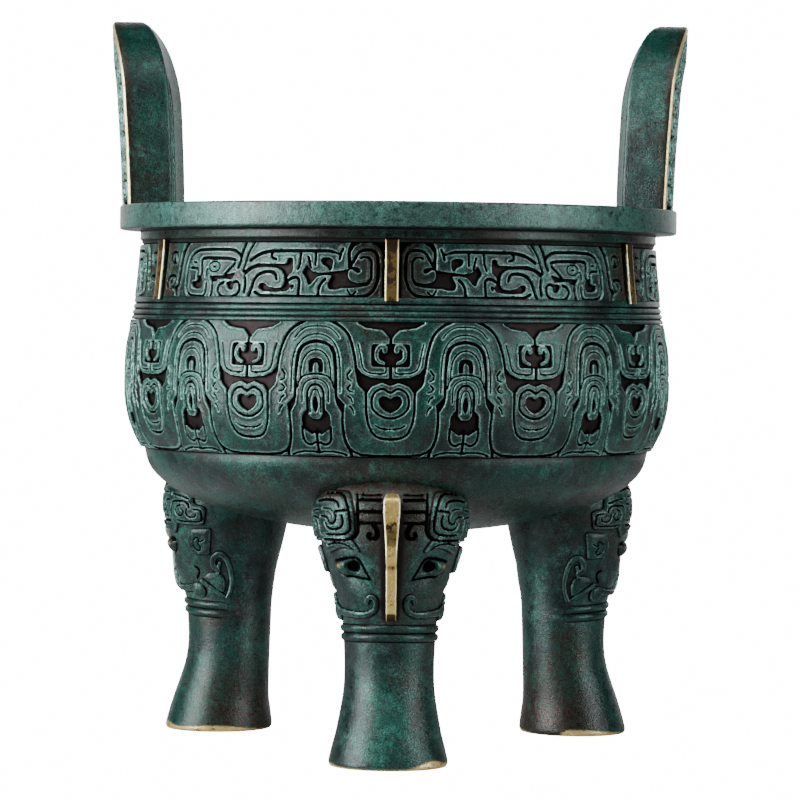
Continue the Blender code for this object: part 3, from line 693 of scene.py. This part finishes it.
def bowl_profile():
    """Rim, neck, ridges, belly and round bottom outside, then the hollow's wall back up to the rim."""
    outer = rounded([(RIM_RADIUS - 8.0, RIM_TOP), (RIM_RADIUS, RIM_TOP), (RIM_RADIUS, RIM_UNDERSIDE),
                     (88.6, RIM_UNDERSIDE - 0.2)], 0.9, closed=False, steps=4)
    # A point's third value darkens it: painted shadow just under the rim and under the wave band, dark
    # patina and painted shade in the grooves and behind the bands, and a browner inside.
    neck = [(88.0, 173.3, 0.8), (87.9, 172.6, 0.0), (88.0, 171.2, 0.0), (88.1, 170.7, 0.0),
            (87.9, 170.4, 0.1), (87.5, 170.2, 0.6), (87.3, FRIEZE_TOP + 0.6, 0.3),
            belly_face(FRIEZE_TOP, RELIEF, 1.0)]
    sunk = RELIEF + SLAB * 0.6
    behind_frieze = [belly_face(height, sunk, 1.0) for height in (FRIEZE_TOP, FRIEZE_FOOT)]
    wave_top = WAVE_FOOT + WAVE_HEIGHT
    behind_wave = [belly_face(height, sunk, 1.0) for height in
                   (wave_top, *np.linspace(wave_top - 6.0, WAVE_FOOT + 6.0, 6), WAVE_FOOT)]
    under_wave = [(85.6, WAVE_FOOT, 1.0), (85.9, WAVE_FOOT - 0.5, 0.4)]
    wall = spline([(86.4, 113.0), (86.9, 128.0), (86.2, 146.0), (83.0, 162.0), (80.6, 175.0),
                   (MOUTH_RADIUS, 180.6)], steps=4)
    lip = rounded([(MOUTH_RADIUS, 180.9), (MOUTH_RADIUS, RIM_TOP), (RIM_RADIUS - 8.2, RIM_TOP)], 0.9,
                  closed=False, steps=3)
    return ([(*place, 0.0) for place in outer] + neck + behind_frieze + ridge_profile() + behind_wave
            + under_wave + half_ellipse(BOTTOM_OUTSIDE, 22, 4.0, 0.0)
            + half_ellipse(BOTTOM_INSIDE, 13, 0.0, 0.35)[::-1] + [(*place, 0.35) for place in wall]
            + [(*place, 0.0) for place in lip])


def spun(profile, steps=240):
    """A turned mesh from a closed profile of (radius, height, recess) that crosses the axis."""
    bm = bmesh.new()
    layers = {name: bm.verts.layers.float.new(name) for name in ("recess", "wear", "bare", "tarnish")}
    brown = layers["tarnish"]
    verts = []
    for radius, height, recess in profile:
        vert = bm.verts.new((radius * MM, 0.0, height * MM))
        vert[layers["recess"]] = recess
        vert[layers["wear"]] = RIM_PALENESS if height > RIM_UNDERSIDE - 0.1 else 0.0
        on_neck = FRIEZE_TOP <= height < RIM_UNDERSIDE and radius > MOUTH_RADIUS + 5.0
        vert[brown] = NECK_BROWNING if on_neck else 0.0
        verts.append(vert)
    edges = [bm.edges.new(pair) for pair in zip(verts, verts[1:] + verts[:1])
             if max(vert.co.x for vert in pair) > 0.0]
    bmesh.ops.spin(bm, geom=verts + edges, cent=(0, 0, 0), axis=(0, 0, 1), dvec=(0, 0, 0),
                   angle=math.tau, steps=steps, use_merge=True, use_duplicate=False)
    bmesh.ops.remove_doubles(bm, verts=bm.verts[:], dist=0.02 * MM)
    bmesh.ops.recalc_face_normals(bm, faces=bm.faces[:])
    step = math.tau / LEGS
    for vert in bm.verts:
        x, y, z = vert.co / MM
        if z < WAVE_FOOT:
            turn = (math.atan2(x, -y) + step / 2.0) % step - step / 2.0
            from_leg = math.hypot(turn * BOTTOM_OUTSIDE[0] / 24.0, (z - 92.0) / 14.0)
            vert[brown] = max(vert[brown], LEG_BROWNING * min(max(1.6 - from_leg, 0.0), 1.0))
    sort_faces(bm)
    return new_mesh("bowl", bm)


def crossing_height(turn):
    """Height at which a leg's side meets the middle of the bowl's wall, at an angle round the leg."""
    heights = np.linspace(60.0, 97.0, 371)
    along = leg_centre(heights) + leg_half_depth(heights) * math.cos(turn)
    across = leg_half_width(heights) * math.sin(turn)
    radius = np.minimum(np.hypot(along, across), BOTTOM_OUTSIDE[0])
    wall = BOTTOM_CENTRE - BOTTOM_OUTSIDE[1] * np.sqrt(1.0 - (radius / BOTTOM_OUTSIDE[0]) ** 2) + 1.2
    inside = np.nonzero(heights > wall)[0]
    return float(heights[inside[0]]) if len(inside) else float(heights[-1])


def leg_mesh():
    """A leg on the front azimuth, as a grid closed into a tube, with its mask carved on it."""
    carved = np.linspace(-MASK_HALF_ARC, MASK_HALF_ARC, round(2.0 * MASK_HALF_ARC / CELL) + 1)
    plain = np.linspace(MASK_HALF_ARC, math.tau * LEG_ARC_RADIUS - MASK_HALF_ARC, 15)[1:]
    arcs = np.concatenate([carved, plain])
    lower = np.concatenate([np.linspace(0.0, 3.2, 8)[:-1], np.linspace(3.2, 39.0, 26)[:-1],
                            np.linspace(39.0, MASK_FOOT, 24)])
    rows = len(lower) - 1 + MASK_ROWS
    mesh, column, row = grid_mesh("leg", len(arcs) - 1, rows)
    u = arcs[column]
    tops = np.array([crossing_height(arc / LEG_ARC_RADIUS) for arc in arcs])[column]
    share = soft((row - len(lower) + 1) / MASK_ROWS)
    z = np.where(row < len(lower), lower[np.minimum(row, len(lower) - 1)],
                 MASK_FOOT + share * (tops - MASK_FOOT))

    depth, recess, wear = np.zeros((3, len(u)))
    on_mask = (z > MASK_FOOT + 0.01) & (np.abs(u) < MASK_HALF_ARC - 0.01)
    at = np.stack([np.abs(u[on_mask]), z[on_mask]], 1)
    moved, raised, recess[on_mask], wear[on_mask] = carve(mask_drawing(), at, skin=True)
    # The points under the bowl keep their height, and those on the mask's middle line stay on it.
    for axis, held in ((1, row[on_mask] == rows), (0, at[:, 0] < CELL / 2.0)):
        moved[held, axis] = at[held, axis]
    u[on_mask] = moved[:, 0] * np.where(u[on_mask] < 0.0, -1.0, 1.0)
    z[on_mask] = moved[:, 1]
    depth[on_mask] = raised + face_swell(moved)
    aside, turn = np.abs(u), (u + MASK_TURN) / LEG_ARC_RADIUS

    outwards = np.cos(turn)
    round_front = soft((outwards + 0.75) / 0.4)   # the rings fade on the inner side
    for middle in LEG_RINGS:
        away = np.abs(z - middle - RING_TILT * outwards)
        depth += np.sqrt(soft(1.0 - (away / RING_HALF) ** 2)) * RING_RISE * round_front
        # A dark line at each ring's foot: painted shade.
        recess = np.maximum(recess, np.exp(-((away - RING_HALF - 0.2) / 0.25) ** 2) * round_front)
    # The foot is rubbed bare along its edge, most at its sides and in one place in front.
    polish = (0.3 + 2.0 * np.exp(-((np.abs(turn) - 2.1) / 0.8) ** 2)
              + 2.2 * np.exp(-((turn - 0.85) / 0.34) ** 2))
    bare = soft((polish - z) / 0.7 + 0.4)
    # The bare metal also gets a little painted highlight.
    wear = np.maximum(wear, 0.2 * bare)
    # A small bare brass spot on the eyeball: rubbed metal that also stands in for the eye's glint, a painted
    # highlight.
    eye_corner = np.exp(-(((aside - 17.2) / 0.8) ** 2 + ((z - 65.2) / 0.5) ** 2))
    bare = np.maximum(bare, 0.5 * eye_corner)
    nose_side = np.interp(z, (44.0, 68.0, 76.0), (4.5, 5.5, 11.0))
    beside_nose = np.exp(-(aside / nose_side) ** 4) * (z > MASK_FOOT)
    inner_foot = soft(1.5 - z / 22.0) * soft(0.3 - outwards)
    under_bowl = soft((z - 85.0) / 3.0)
    tarnish = np.maximum(np.maximum(beside_nose, inner_foot), under_bowl) * (1.0 - bare)
    # Darkening of the face along the nose's root: painted shade where the flange meets it.
    nose_root = 0.6 * np.exp(-(aside / 4.4) ** 6) * (z > MASK_FOOT + 1.0) * soft((88.0 - z) / 3.0)
    along = leg_centre(z) + (leg_half_depth(z) + depth) * outwards
    across = (leg_half_width(z) + depth) * np.sin(turn)
    return shaped(mesh, across, -along, z, pointed_caps=True, recess=np.maximum(recess, nose_root),
                  wear=wear, bare=bare, tarnish=tarnish)


def face_swell(at):
    """Swelling of the eyeball, with its pupil's pit, the cheek and the brow over the leg's face."""
    def mound(u, v, half_u, half_v, height):
        away = ((at[:, 0] - u) / half_u) ** 2 + ((at[:, 1] - v) / half_v) ** 2
        return height * soft(1.0 - away)

    return (mound(15.8, 64.8, 5.0, 3.2, 2.0) - mound(12.4, 65.2, 2.4, 2.4, 1.5)
            + mound(16.0, 56.6, 9.0, 5.0, 0.5) + mound(16.0, 70.0, 9.0, 3.0, 0.3))


def thin_plate(front, back, width_at, browned_at, aside=0.0):
    """A plate that stands out in the front's radial plane, from its front line as (distance, height).

    It is a grid closed round the section: t across from -1 to 1, and the share of the way back.
    """
    section = [(t, 0.0) for t in PLATE_FACE]
    section += [(1.0, 0.12), (1.0, 0.4), (1.0, 1.0), (-1.0, 1.0), (-1.0, 0.4), (-1.0, 0.12)]
    mesh, column, row = grid_mesh("plate", len(section), len(front) - 1)
    t, share = np.array(section)[column % len(section)].T
    radius, height = np.array(front)[row].T
    half = width_at(height) / 2.0
    into_edge = np.clip(np.abs(t) * half - (half - PLATE_ROUNDING), 0.0, PLATE_ROUNDING)
    radius = radius - PLATE_ROUNDING + np.sqrt(PLATE_ROUNDING ** 2 - into_edge ** 2)
    radius -= share * (radius - back)
    face, browned = share < 0.01, browned_at(height)
    # The face's rounded edges get a painted highlight, and the sides are darkened with painted shade towards
    # the wall.
    return shaped(mesh, t * half + aside, -radius, height, recess=soft((share - 0.3) / 0.5),
                  wear=soft((np.abs(t) - 0.74) / 0.12) * soft(1.6 - browned) * face,
                  bare=soft((0.99 - np.abs(t)) / 0.04) * face,
                  tarnish=np.where(face, browned * soft((0.9 - np.abs(t)) / 0.25), 1.0))


def nose_mesh():
    """The flange down the middle of a mask: a horned upper part over a narrower lower one."""
    front = spline([(87.0, 88.6), (91.2, 87.6), (92.2, 84.0), (92.5, 78.0), (93.3, 73.0), (94.2, 69.6),
                    (93.6, 67.2), (92.4, 65.6)])
    front += spline([(91.4, 64.9), (91.0, 60.0), (90.4, 54.0), (89.4, 50.0), (87.4, 47.9)])
    widths = np.array([(47.9, 3.3), (60.0, 3.4), (64.8, 3.5), (65.2, 3.2), (67.0, 3.5), (71.0, 3.8),
                       (77.0, 4.6), (83.0, 5.5), (86.6, 5.4), (87.6, 4.8), (88.6, 3.6)])

    def browned_at(height):
        foot = 2.0 * soft((50.4 - height) / 0.6)
        joint = np.exp(-((height - 65.3) / 0.5) ** 2)
        return np.maximum(np.maximum(0.8 * np.exp(-((height - 75.0) / 4.2) ** 4), joint), foot)

    return thin_plate(front, 80.0, lambda height: np.interp(height, *widths.T), browned_at, MASK_TURN)


def flange_mesh():
    """An upright bar that divides the frieze."""
    front = [(float(belly_radius(height)) + 1.5, height) for height in np.linspace(169.8, 150.2, 22)]
    return thin_plate(front, NECK_RADIUS - 3.0, lambda height: np.full(len(height), FLANGE_WIDTH),
                      lambda height: 0.8 + 1.4 * soft((height - 166.8) / 0.6))


def arch_line(half_width, top):
    """A round-topped arch from root to root, as (arc length, height)."""
    straight = [(half_width, height) for height in np.linspace(HANDLE_ROOT, HANDLE_SPRING, 60)[:-1]]
    arch = [(half_width * math.cos(t), HANDLE_SPRING + (top - HANDLE_SPRING) * math.sin(t))
            for t in np.linspace(0.0, RIGHT_ANGLE, 80)]
    half = np.array(straight + arch)
    return np.concatenate([half, half[-2::-1] * (-1.0, 1.0)])


def handle_mesh():
    """A handle on the front azimuth, as a grid closed round the arch's section."""
    outer = arch_line(HANDLE_HALF_WIDTH, DRAWN_HEIGHT)
    inner = arch_line(HANDLE_HALF_WIDTH - HANDLE_BAND, DRAWN_HEIGHT - HANDLE_BAND)
    steps = np.diff((outer + inner) / 2.0, axis=0)
    along = np.concatenate([[0.0], np.cumsum(np.hypot(*steps.T))])
    half_band, corner, round_corner = HANDLE_BAND / 2.0, HANDLE_CORNER, HANDLE_ROUND_CORNER
    # The section's path: t across the band from slot to edge, w through the thickness.
    face = [(t, 0.0) for t in np.linspace(-half_band + corner, half_band - corner, 29)]
    side = [(half_band - corner + corner * math.sin(a), corner - corner * math.cos(a))
            for a in np.linspace(0.0, RIGHT_ANGLE, 5)[1:]]
    side += [(half_band, w) for w in np.linspace(corner, HANDLE_THICKNESS - round_corner, 12)[1:]]
    side += [(half_band - round_corner + round_corner * math.cos(a),
              HANDLE_THICKNESS - round_corner + round_corner * math.sin(a))
             for a in np.linspace(0.0, RIGHT_ANGLE, 8)[1:]]
    back = [(t, HANDLE_THICKNESS)
            for t in np.linspace(half_band - round_corner, -half_band + round_corner, 10)[1:-1]]
    section = np.array(face + side + back + [(-t, w) for t, w in side[::-1]])
    mesh, column, row = grid_mesh("handle", len(section), len(along) - 1)
    column %= len(section)
    t, w = section[column].T
    s = along[row]
    depth, recess, wear = np.zeros((3, len(s)))
    on_face = column < len(face)
    at = np.stack([np.minimum(s, along[-1] - s)[on_face], t[on_face]], 1)
    _, depth[on_face], recess[on_face], wear[on_face] = carve(handle_drawing(along[-1]), at)
    bare = soft((0.62 - w) / 0.3) * (t > half_band - corner - 0.01)
    tarnish = soft((2.6 - w) / 0.8) * (t > half_band - corner) * (1.0 - bare)
    paleness = RIM_PALENESS * soft((w - HANDLE_THICKNESS + round_corner) / round_corner)
    # The bare edge line also gets a painted highlight; the inner faces take the pale patina of the rim.
    wear = np.maximum(np.maximum(wear, 0.6 * bare), paleness)
    share = ((t + half_band) / HANDLE_BAND)[:, None]
    arc, height = (inner[row] * (1.0 - share) + outer[row] * share).T
    outside, inside = handle_outer(height), handle_inner(height)
    radius = outside + depth - (outside - inside) * w / HANDLE_THICKNESS
    turn = arc / RIM_RADIUS
    return shaped(mesh, radius * np.sin(turn), -radius * np.cos(turn), height, recess=recess, wear=wear,
                  bare=bare, tarnish=tarnish)


# ---------------------------------------------------------------- finish

def add_node(tree, kind, **settings):
    """A node with its settings, set out in rows of six."""
    row, column = divmod(len(tree.nodes), 6)
    node = tree.nodes.new(kind)
    node.location = (240.0 * column, -320.0 * row)
    for name, value in settings.items():
        setattr(node, name, value)
    return node


def feed(tree, socket, value):
    """Give an input a plain RGB, a number or another node's output."""
    if isinstance(value, bpy.types.NodeSocket):
        tree.links.new(value, socket)
    else:
        socket.default_value = (*value, 1.0) if isinstance(value, tuple) else value


def noise(tree, coordinates, scale, detail, roughness, distortion=0.0):
    """A noise texture on the given coordinates."""
    node = add_node(tree, "ShaderNodeTexNoise")
    for name, value in (("Vector", coordinates), ("Scale", scale), ("Detail", detail),
                        ("Roughness", roughness), ("Distortion", distortion)):
        feed(tree, node.inputs[name], value)
    return node.outputs["Fac"]


def ramp(tree, value, low, high, to_low=0.0, to_high=1.0):
    """The value stretched from low and high to 0 and 1, or to two other numbers."""
    node = add_node(tree, "ShaderNodeMapRange", interpolation_type="SMOOTHSTEP")
    for name, given in (("Value", value), ("From Min", low), ("From Max", high),
                        ("To Min", to_low), ("To Max", to_high)):
        feed(tree, node.inputs[name], given)
    return node.outputs["Result"]


def combine(tree, kind, first, second):
    """A clamped Math node over two values, each a socket or a number."""
    node = add_node(tree, "ShaderNodeMath", operation=kind, use_clamp=True)
    for socket, value in zip(node.inputs, (first, second)):
        feed(tree, socket, value)
    return node.outputs[0]


def blend_colours(tree, share, first, second, kind="MIX"):
    """A colour mix, where each colour is a socket or a plain RGB."""
    node = add_node(tree, "ShaderNodeMix", data_type="RGBA", blend_type=kind)
    feed(tree, node.inputs["Factor"], share)
    colours = [socket for socket in node.inputs if socket.type == "RGBA"]
    for socket, colour in zip(colours, (first, second)):
        feed(tree, socket, colour)
    return [socket for socket in node.outputs if socket.type == "RGBA"][0]


def patina_group():
    """The patina's colour, gloss, metal and grain, from the surface's recess mark of dark patina and painted
    shade, its mark of rubbing and painted highlight, and its browning.
    """
    tree = bpy.data.node_groups.new("patina", "ShaderNodeTree")
    for name in ("Recess", "Wear", "Tarnish"):
        tree.interface.new_socket(name, in_out="INPUT", socket_type="NodeSocketFloat")
    tree.interface.new_socket("Color", in_out="OUTPUT", socket_type="NodeSocketColor")
    for name in ("Roughness", "Metal", "Height"):
        tree.interface.new_socket(name, in_out="OUTPUT", socket_type="NodeSocketFloat")
    given = add_node(tree, "NodeGroupInput").outputs
    recess, wear, tarnish = given["Recess"], given["Wear"], given["Tarnish"]
    place = add_node(tree, "ShaderNodeTexCoord").outputs["Object"]
    texture, stretched = partial(noise, tree, place), partial(ramp, tree)
    added, times = partial(combine, tree, "ADD"), partial(combine, tree, "MULTIPLY")
    mixed = partial(blend_colours, tree)
    clouds = texture(30.0, 8.0, 0.62, 0.7)
    bloom = texture(150.0, 6.0, 0.75, 0.2)
    blotches = texture(75.0, 6.0, 0.7, 0.3)
    stains = texture(32.0, 6.0, 0.7, 0.4)
    mottle = texture(420.0, 4.0, 0.75)
    grain = texture(2300.0, 2.0, 0.6)

    colour = mixed(stretched(clouds, 0.44, 0.56), DARK_TEAL, MID_GREEN)
    colour = mixed(times(stretched(bloom, 0.44, 0.68), 0.8), colour, MAUVE_GREY)
    light = times(stretched(blotches, 0.42, 0.80), stretched(mottle, 0.30, 0.72))
    colour = mixed(light, colour, MINT)
    stain = times(stretched(stains, 0.46, 0.66), stretched(mottle, 0.75, 0.30))
    brown = times(tarnish, stretched(mottle, 0.80, 0.40))
    colour = mixed(combine(tree, "MAXIMUM", stain, brown), colour, BROWN_BLACK)
    colour = mixed(times(stretched(grain, 0.62, 0.38), 0.45), colour, DARK_TEAL)
    # Rubbed places and painted highlights turn a pale green.
    worn = times(times(wear, stretched(mottle, 0.24, 0.56)), combine(tree, "SUBTRACT", 0.85, tarnish))
    colour = mixed(worn, colour, WORN_BRONZE)
    dust = stretched(grain, 0.36, 0.64, 0.55, 1.6)
    colour = mixed(1.0, colour, dust, "MULTIPLY")
    # Hollows turn brown with patina, and the deepest go near-black: painted shade.
    colour = mixed(stretched(recess, 0.25, 0.5), colour, GROUND_BROWN)
    colour = mixed(stretched(recess, 0.5, 0.95), colour, RECESS_BLACK)
    gloss = stretched(mottle, 0.2, 0.8, 0.23, 0.40)
    result = add_node(tree, "NodeGroupOutput").inputs
    feed(tree, result["Color"], colour)
    feed(tree, result["Roughness"], added(gloss, times(recess, 0.35)))
    # More metal in deep places takes out their reflection, so that the painted shade stays black.
    feed(tree, result["Metal"], stretched(recess, 0.3, 0.65, 0.3, 1.0))
    feed(tree, result["Height"], added(times(mottle, 0.5), times(grain, 0.5)))
    return tree


def new_material(name):
    """A material, with its node tree and its shader's inputs."""
    material = bpy.data.materials.new(name)
    material.use_nodes = True
    return material, material.node_tree, material.node_tree.nodes["Principled BSDF"].inputs


def bronze():
    """Patinated bronze, rubbed down to bare metal where a surface is marked bare."""
    material, tree, shader = new_material(SLOT)
    marks = {name: add_node(tree, "ShaderNodeAttribute", attribute_name=name).outputs["Fac"]
             for name in ("recess", "wear", "bare", "tarnish")}
    bare, tarnish = marks["bare"], marks["tarnish"]
    patina = add_node(tree, "ShaderNodeGroup", node_tree=patina_group())
    for name in ("Recess", "Wear", "Tarnish"):
        feed(tree, patina.inputs[name], marks[name.lower()])
    patina = patina.outputs
    place = add_node(tree, "ShaderNodeTexCoord").outputs["Object"]
    stretched, mixed = partial(ramp, tree), partial(blend_colours, tree)
    times, most = partial(combine, tree, "MULTIPLY"), partial(combine, tree, "MAXIMUM")
    patches = noise(tree, place, 130.0, 4.0, 0.75)
    specks = noise(tree, place, 900.0, 2.0, 0.6)
    dark = stretched(combine(tree, "ADD", patches, times(tarnish, 0.17)), 0.58, 0.64)
    dark = most(dark, stretched(specks, 0.36, 0.30))
    # Glints of painted highlight on the bare brass.
    glints = times(stretched(specks, 0.52, 0.70), 0.6)
    brass = mixed(glints, BARE_BRASS, BRIGHT_BRASS)
    brass = mixed(tarnish, brass, BROWNED_BRASS)
    brass = mixed(dark, brass, TARNISHED_BRASS)
    # Painted highlight along the brass edges and bare lines.
    brass = mixed(times(marks["wear"], stretched(specks, 0.70, 0.50)), brass, BRIGHT_BRASS)
    bump = add_node(tree, "ShaderNodeBump")
    for name, value in (("Strength", 0.85), ("Distance", 0.0003), ("Height", patina["Height"])):
        feed(tree, bump.inputs[name], value)
    feed(tree, shader["Base Color"], mixed(bare, patina["Color"], brass))
    feed(tree, shader["Metallic"], most(times(bare, 0.78), patina["Metal"]))
    feed(tree, shader["Roughness"], mixed(bare, patina["Roughness"], (0.32, 0.32, 0.32)))
    feed(tree, shader["Normal"], bump.outputs["Normal"])
    shader["Specular IOR Level"].default_value = 0.35
    return material


# ---------------------------------------------------------------- scene

def add_object(name, data):
    """An object in the scene."""
    thing = bpy.data.objects.new(name, data)
    bpy.context.scene.collection.objects.link(thing)
    return thing


def add_piece(name, mesh, material):
    """A piece of the casting, from a mesh in metres."""
    mesh.materials.append(material)
    mesh.shade_smooth()
    mesh.set_sharp_from_angle(angle=math.radians(60.0))
    piece = add_object(name, mesh)
    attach(piece, "root")
    return piece


def add_camera():
    """The camera, a little above the belly and a little right of the front."""
    lens, distance, eye, azimuth, pitch, roll, yaw = 169.6, 1.29, 0.1455, 1.22, -1.28, -0.6, -0.04
    data = bpy.data.cameras.new("camera")
    data.lens = lens
    data.sensor_width = 36.0
    data.clip_start = 0.05
    camera = add_object("camera", data)
    turn = math.radians(azimuth)
    camera.location = (distance * math.sin(turn), -distance * math.cos(turn), eye)
    camera.rotation_euler = (math.radians(90.0 + pitch), math.radians(roll), turn + math.radians(yaw))
    bpy.context.scene.camera = camera


def white_to_camera(tree, lit, output):
    """Let the camera see plain bright white in place of the lit shader, and light nothing with it."""
    white = add_node(tree, "ShaderNodeEmission")
    white.inputs["Strength"].default_value = 16.0
    mix = add_node(tree, "ShaderNodeMixShader")
    seen = add_node(tree, "ShaderNodeLightPath").outputs["Is Camera Ray"]
    for socket, value in zip(mix.inputs, (seen, lit, white.outputs[0])):
        feed(tree, socket, value)
    feed(tree, output, mix.outputs[0])


def add_floor():
    """A plain pale floor."""
    bm = bmesh.new()
    bmesh.ops.create_grid(bm, x_segments=1, y_segments=1, size=6.0)
    mesh = new_mesh("floor", bm)
    material, tree, shader = new_material("pale_floor")
    for name, value in (("Base Color", (0.5, 0.5, 0.5)), ("Roughness", 0.9), ("Specular IOR Level", 0.1)):
        feed(tree, shader[name], value)
    lit = tree.nodes["Principled BSDF"].outputs[0]
    white_to_camera(tree, lit, tree.nodes["Material Output"].inputs["Surface"])
    mesh.materials.append(material)
    floor = add_object("floor", mesh)
    floor.location.z = -0.0002


def add_softbox(name, azimuth, elevation, distance, size, power):
    """An oblong soft light that faces the vessel from an azimuth and an elevation in degrees."""
    data = bpy.data.lights.new(name, "AREA")
    data.shape = "RECTANGLE"
    data.size, data.size_y = size
    data.energy = power
    data.spread = math.radians(100.0)
    lamp = add_object(name, data)
    lamp.visible_camera = False
    turn, lift = math.radians(azimuth), math.radians(elevation)
    target = Vector((0.0, 0.0, 0.12))
    offset = Vector((math.sin(turn) * math.cos(lift), -math.cos(turn) * math.cos(lift), math.sin(lift)))
    lamp.location = target + offset * distance
    lamp.rotation_euler = offset.to_track_quat("Z", "Y").to_euler()


def add_lights():
    """Tall softboxes left and right, one above and a broad one behind, in a dim, pale surround."""
    add_softbox("left_softbox", -62.0, 10.0, 0.8, (0.34, 0.9), 7.5)
    add_softbox("right_softbox", 60.0, 8.0, 0.8, (0.14, 0.9), 2.4)
    add_softbox("top_softbox", 0.0, 55.0, 1.1, (0.7, 0.4), 2.2)
    add_softbox("back_softbox", 180.0, 4.0, 1.5, (2.4, 1.4), 6.0)
    world = bpy.data.worlds.new("surround")
    world.use_nodes = True
    tree = world.node_tree
    dim = tree.nodes["Background"]
    dim.inputs["Color"].default_value = (1.0, 1.0, 1.0, 1.0)
    dim.inputs["Strength"].default_value = 0.05
    white_to_camera(tree, dim.outputs[0], tree.nodes["World Output"].inputs["Surface"])
    bpy.context.scene.world = world


def make_vessel():
    """Every piece of the casting."""
    metal = bronze()
    bowl = add_piece("bowl", spun(bowl_profile()), metal)
    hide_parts(VESSEL)
    for name, azimuth in (("wave_band_front", 0.0), ("wave_band_back", math.pi)):
        add_piece(name, carved_band(wave_drawing(), azimuth, WAVE_UNITS // 2, HALF_UNIT, BAND_RADIUS,
                                    WAVE_FOOT, WAVE_HEIGHT), metal)
    add_piece("dragon_frieze", carved_band(frieze_drawing(), math.pi, LEGS, math.pi * NECK_RADIUS / LEGS,
                                           NECK_RADIUS, FRIEZE_FOOT, FRIEZE_TOP - FRIEZE_FOOT,
                                           FRIEZE_BROWNED), metal)
    leg, nose, flange, handle = leg_mesh(), nose_mesh(), flange_mesh(), handle_mesh()
    for index, side in enumerate(("front", "right", "left")):
        azimuth = math.tau * index / LEGS
        add_piece(f"{side}_leg", turned_copy(leg, azimuth), metal)
        add_piece(f"{side}_nose", turned_copy(nose, azimuth), metal)
    for index in range(2 * LEGS):
        add_piece(f"flange_{index + 1}", turned_copy(flange, math.pi * index / LEGS), metal)
    for side, azimuth in (("right", RIGHT_ANGLE), ("left", -RIGHT_ANGLE)):
        add_piece(f"{side}_handle", turned_copy(handle, azimuth), metal)


add_camera()
add_floor()
add_lights()
make_vessel()
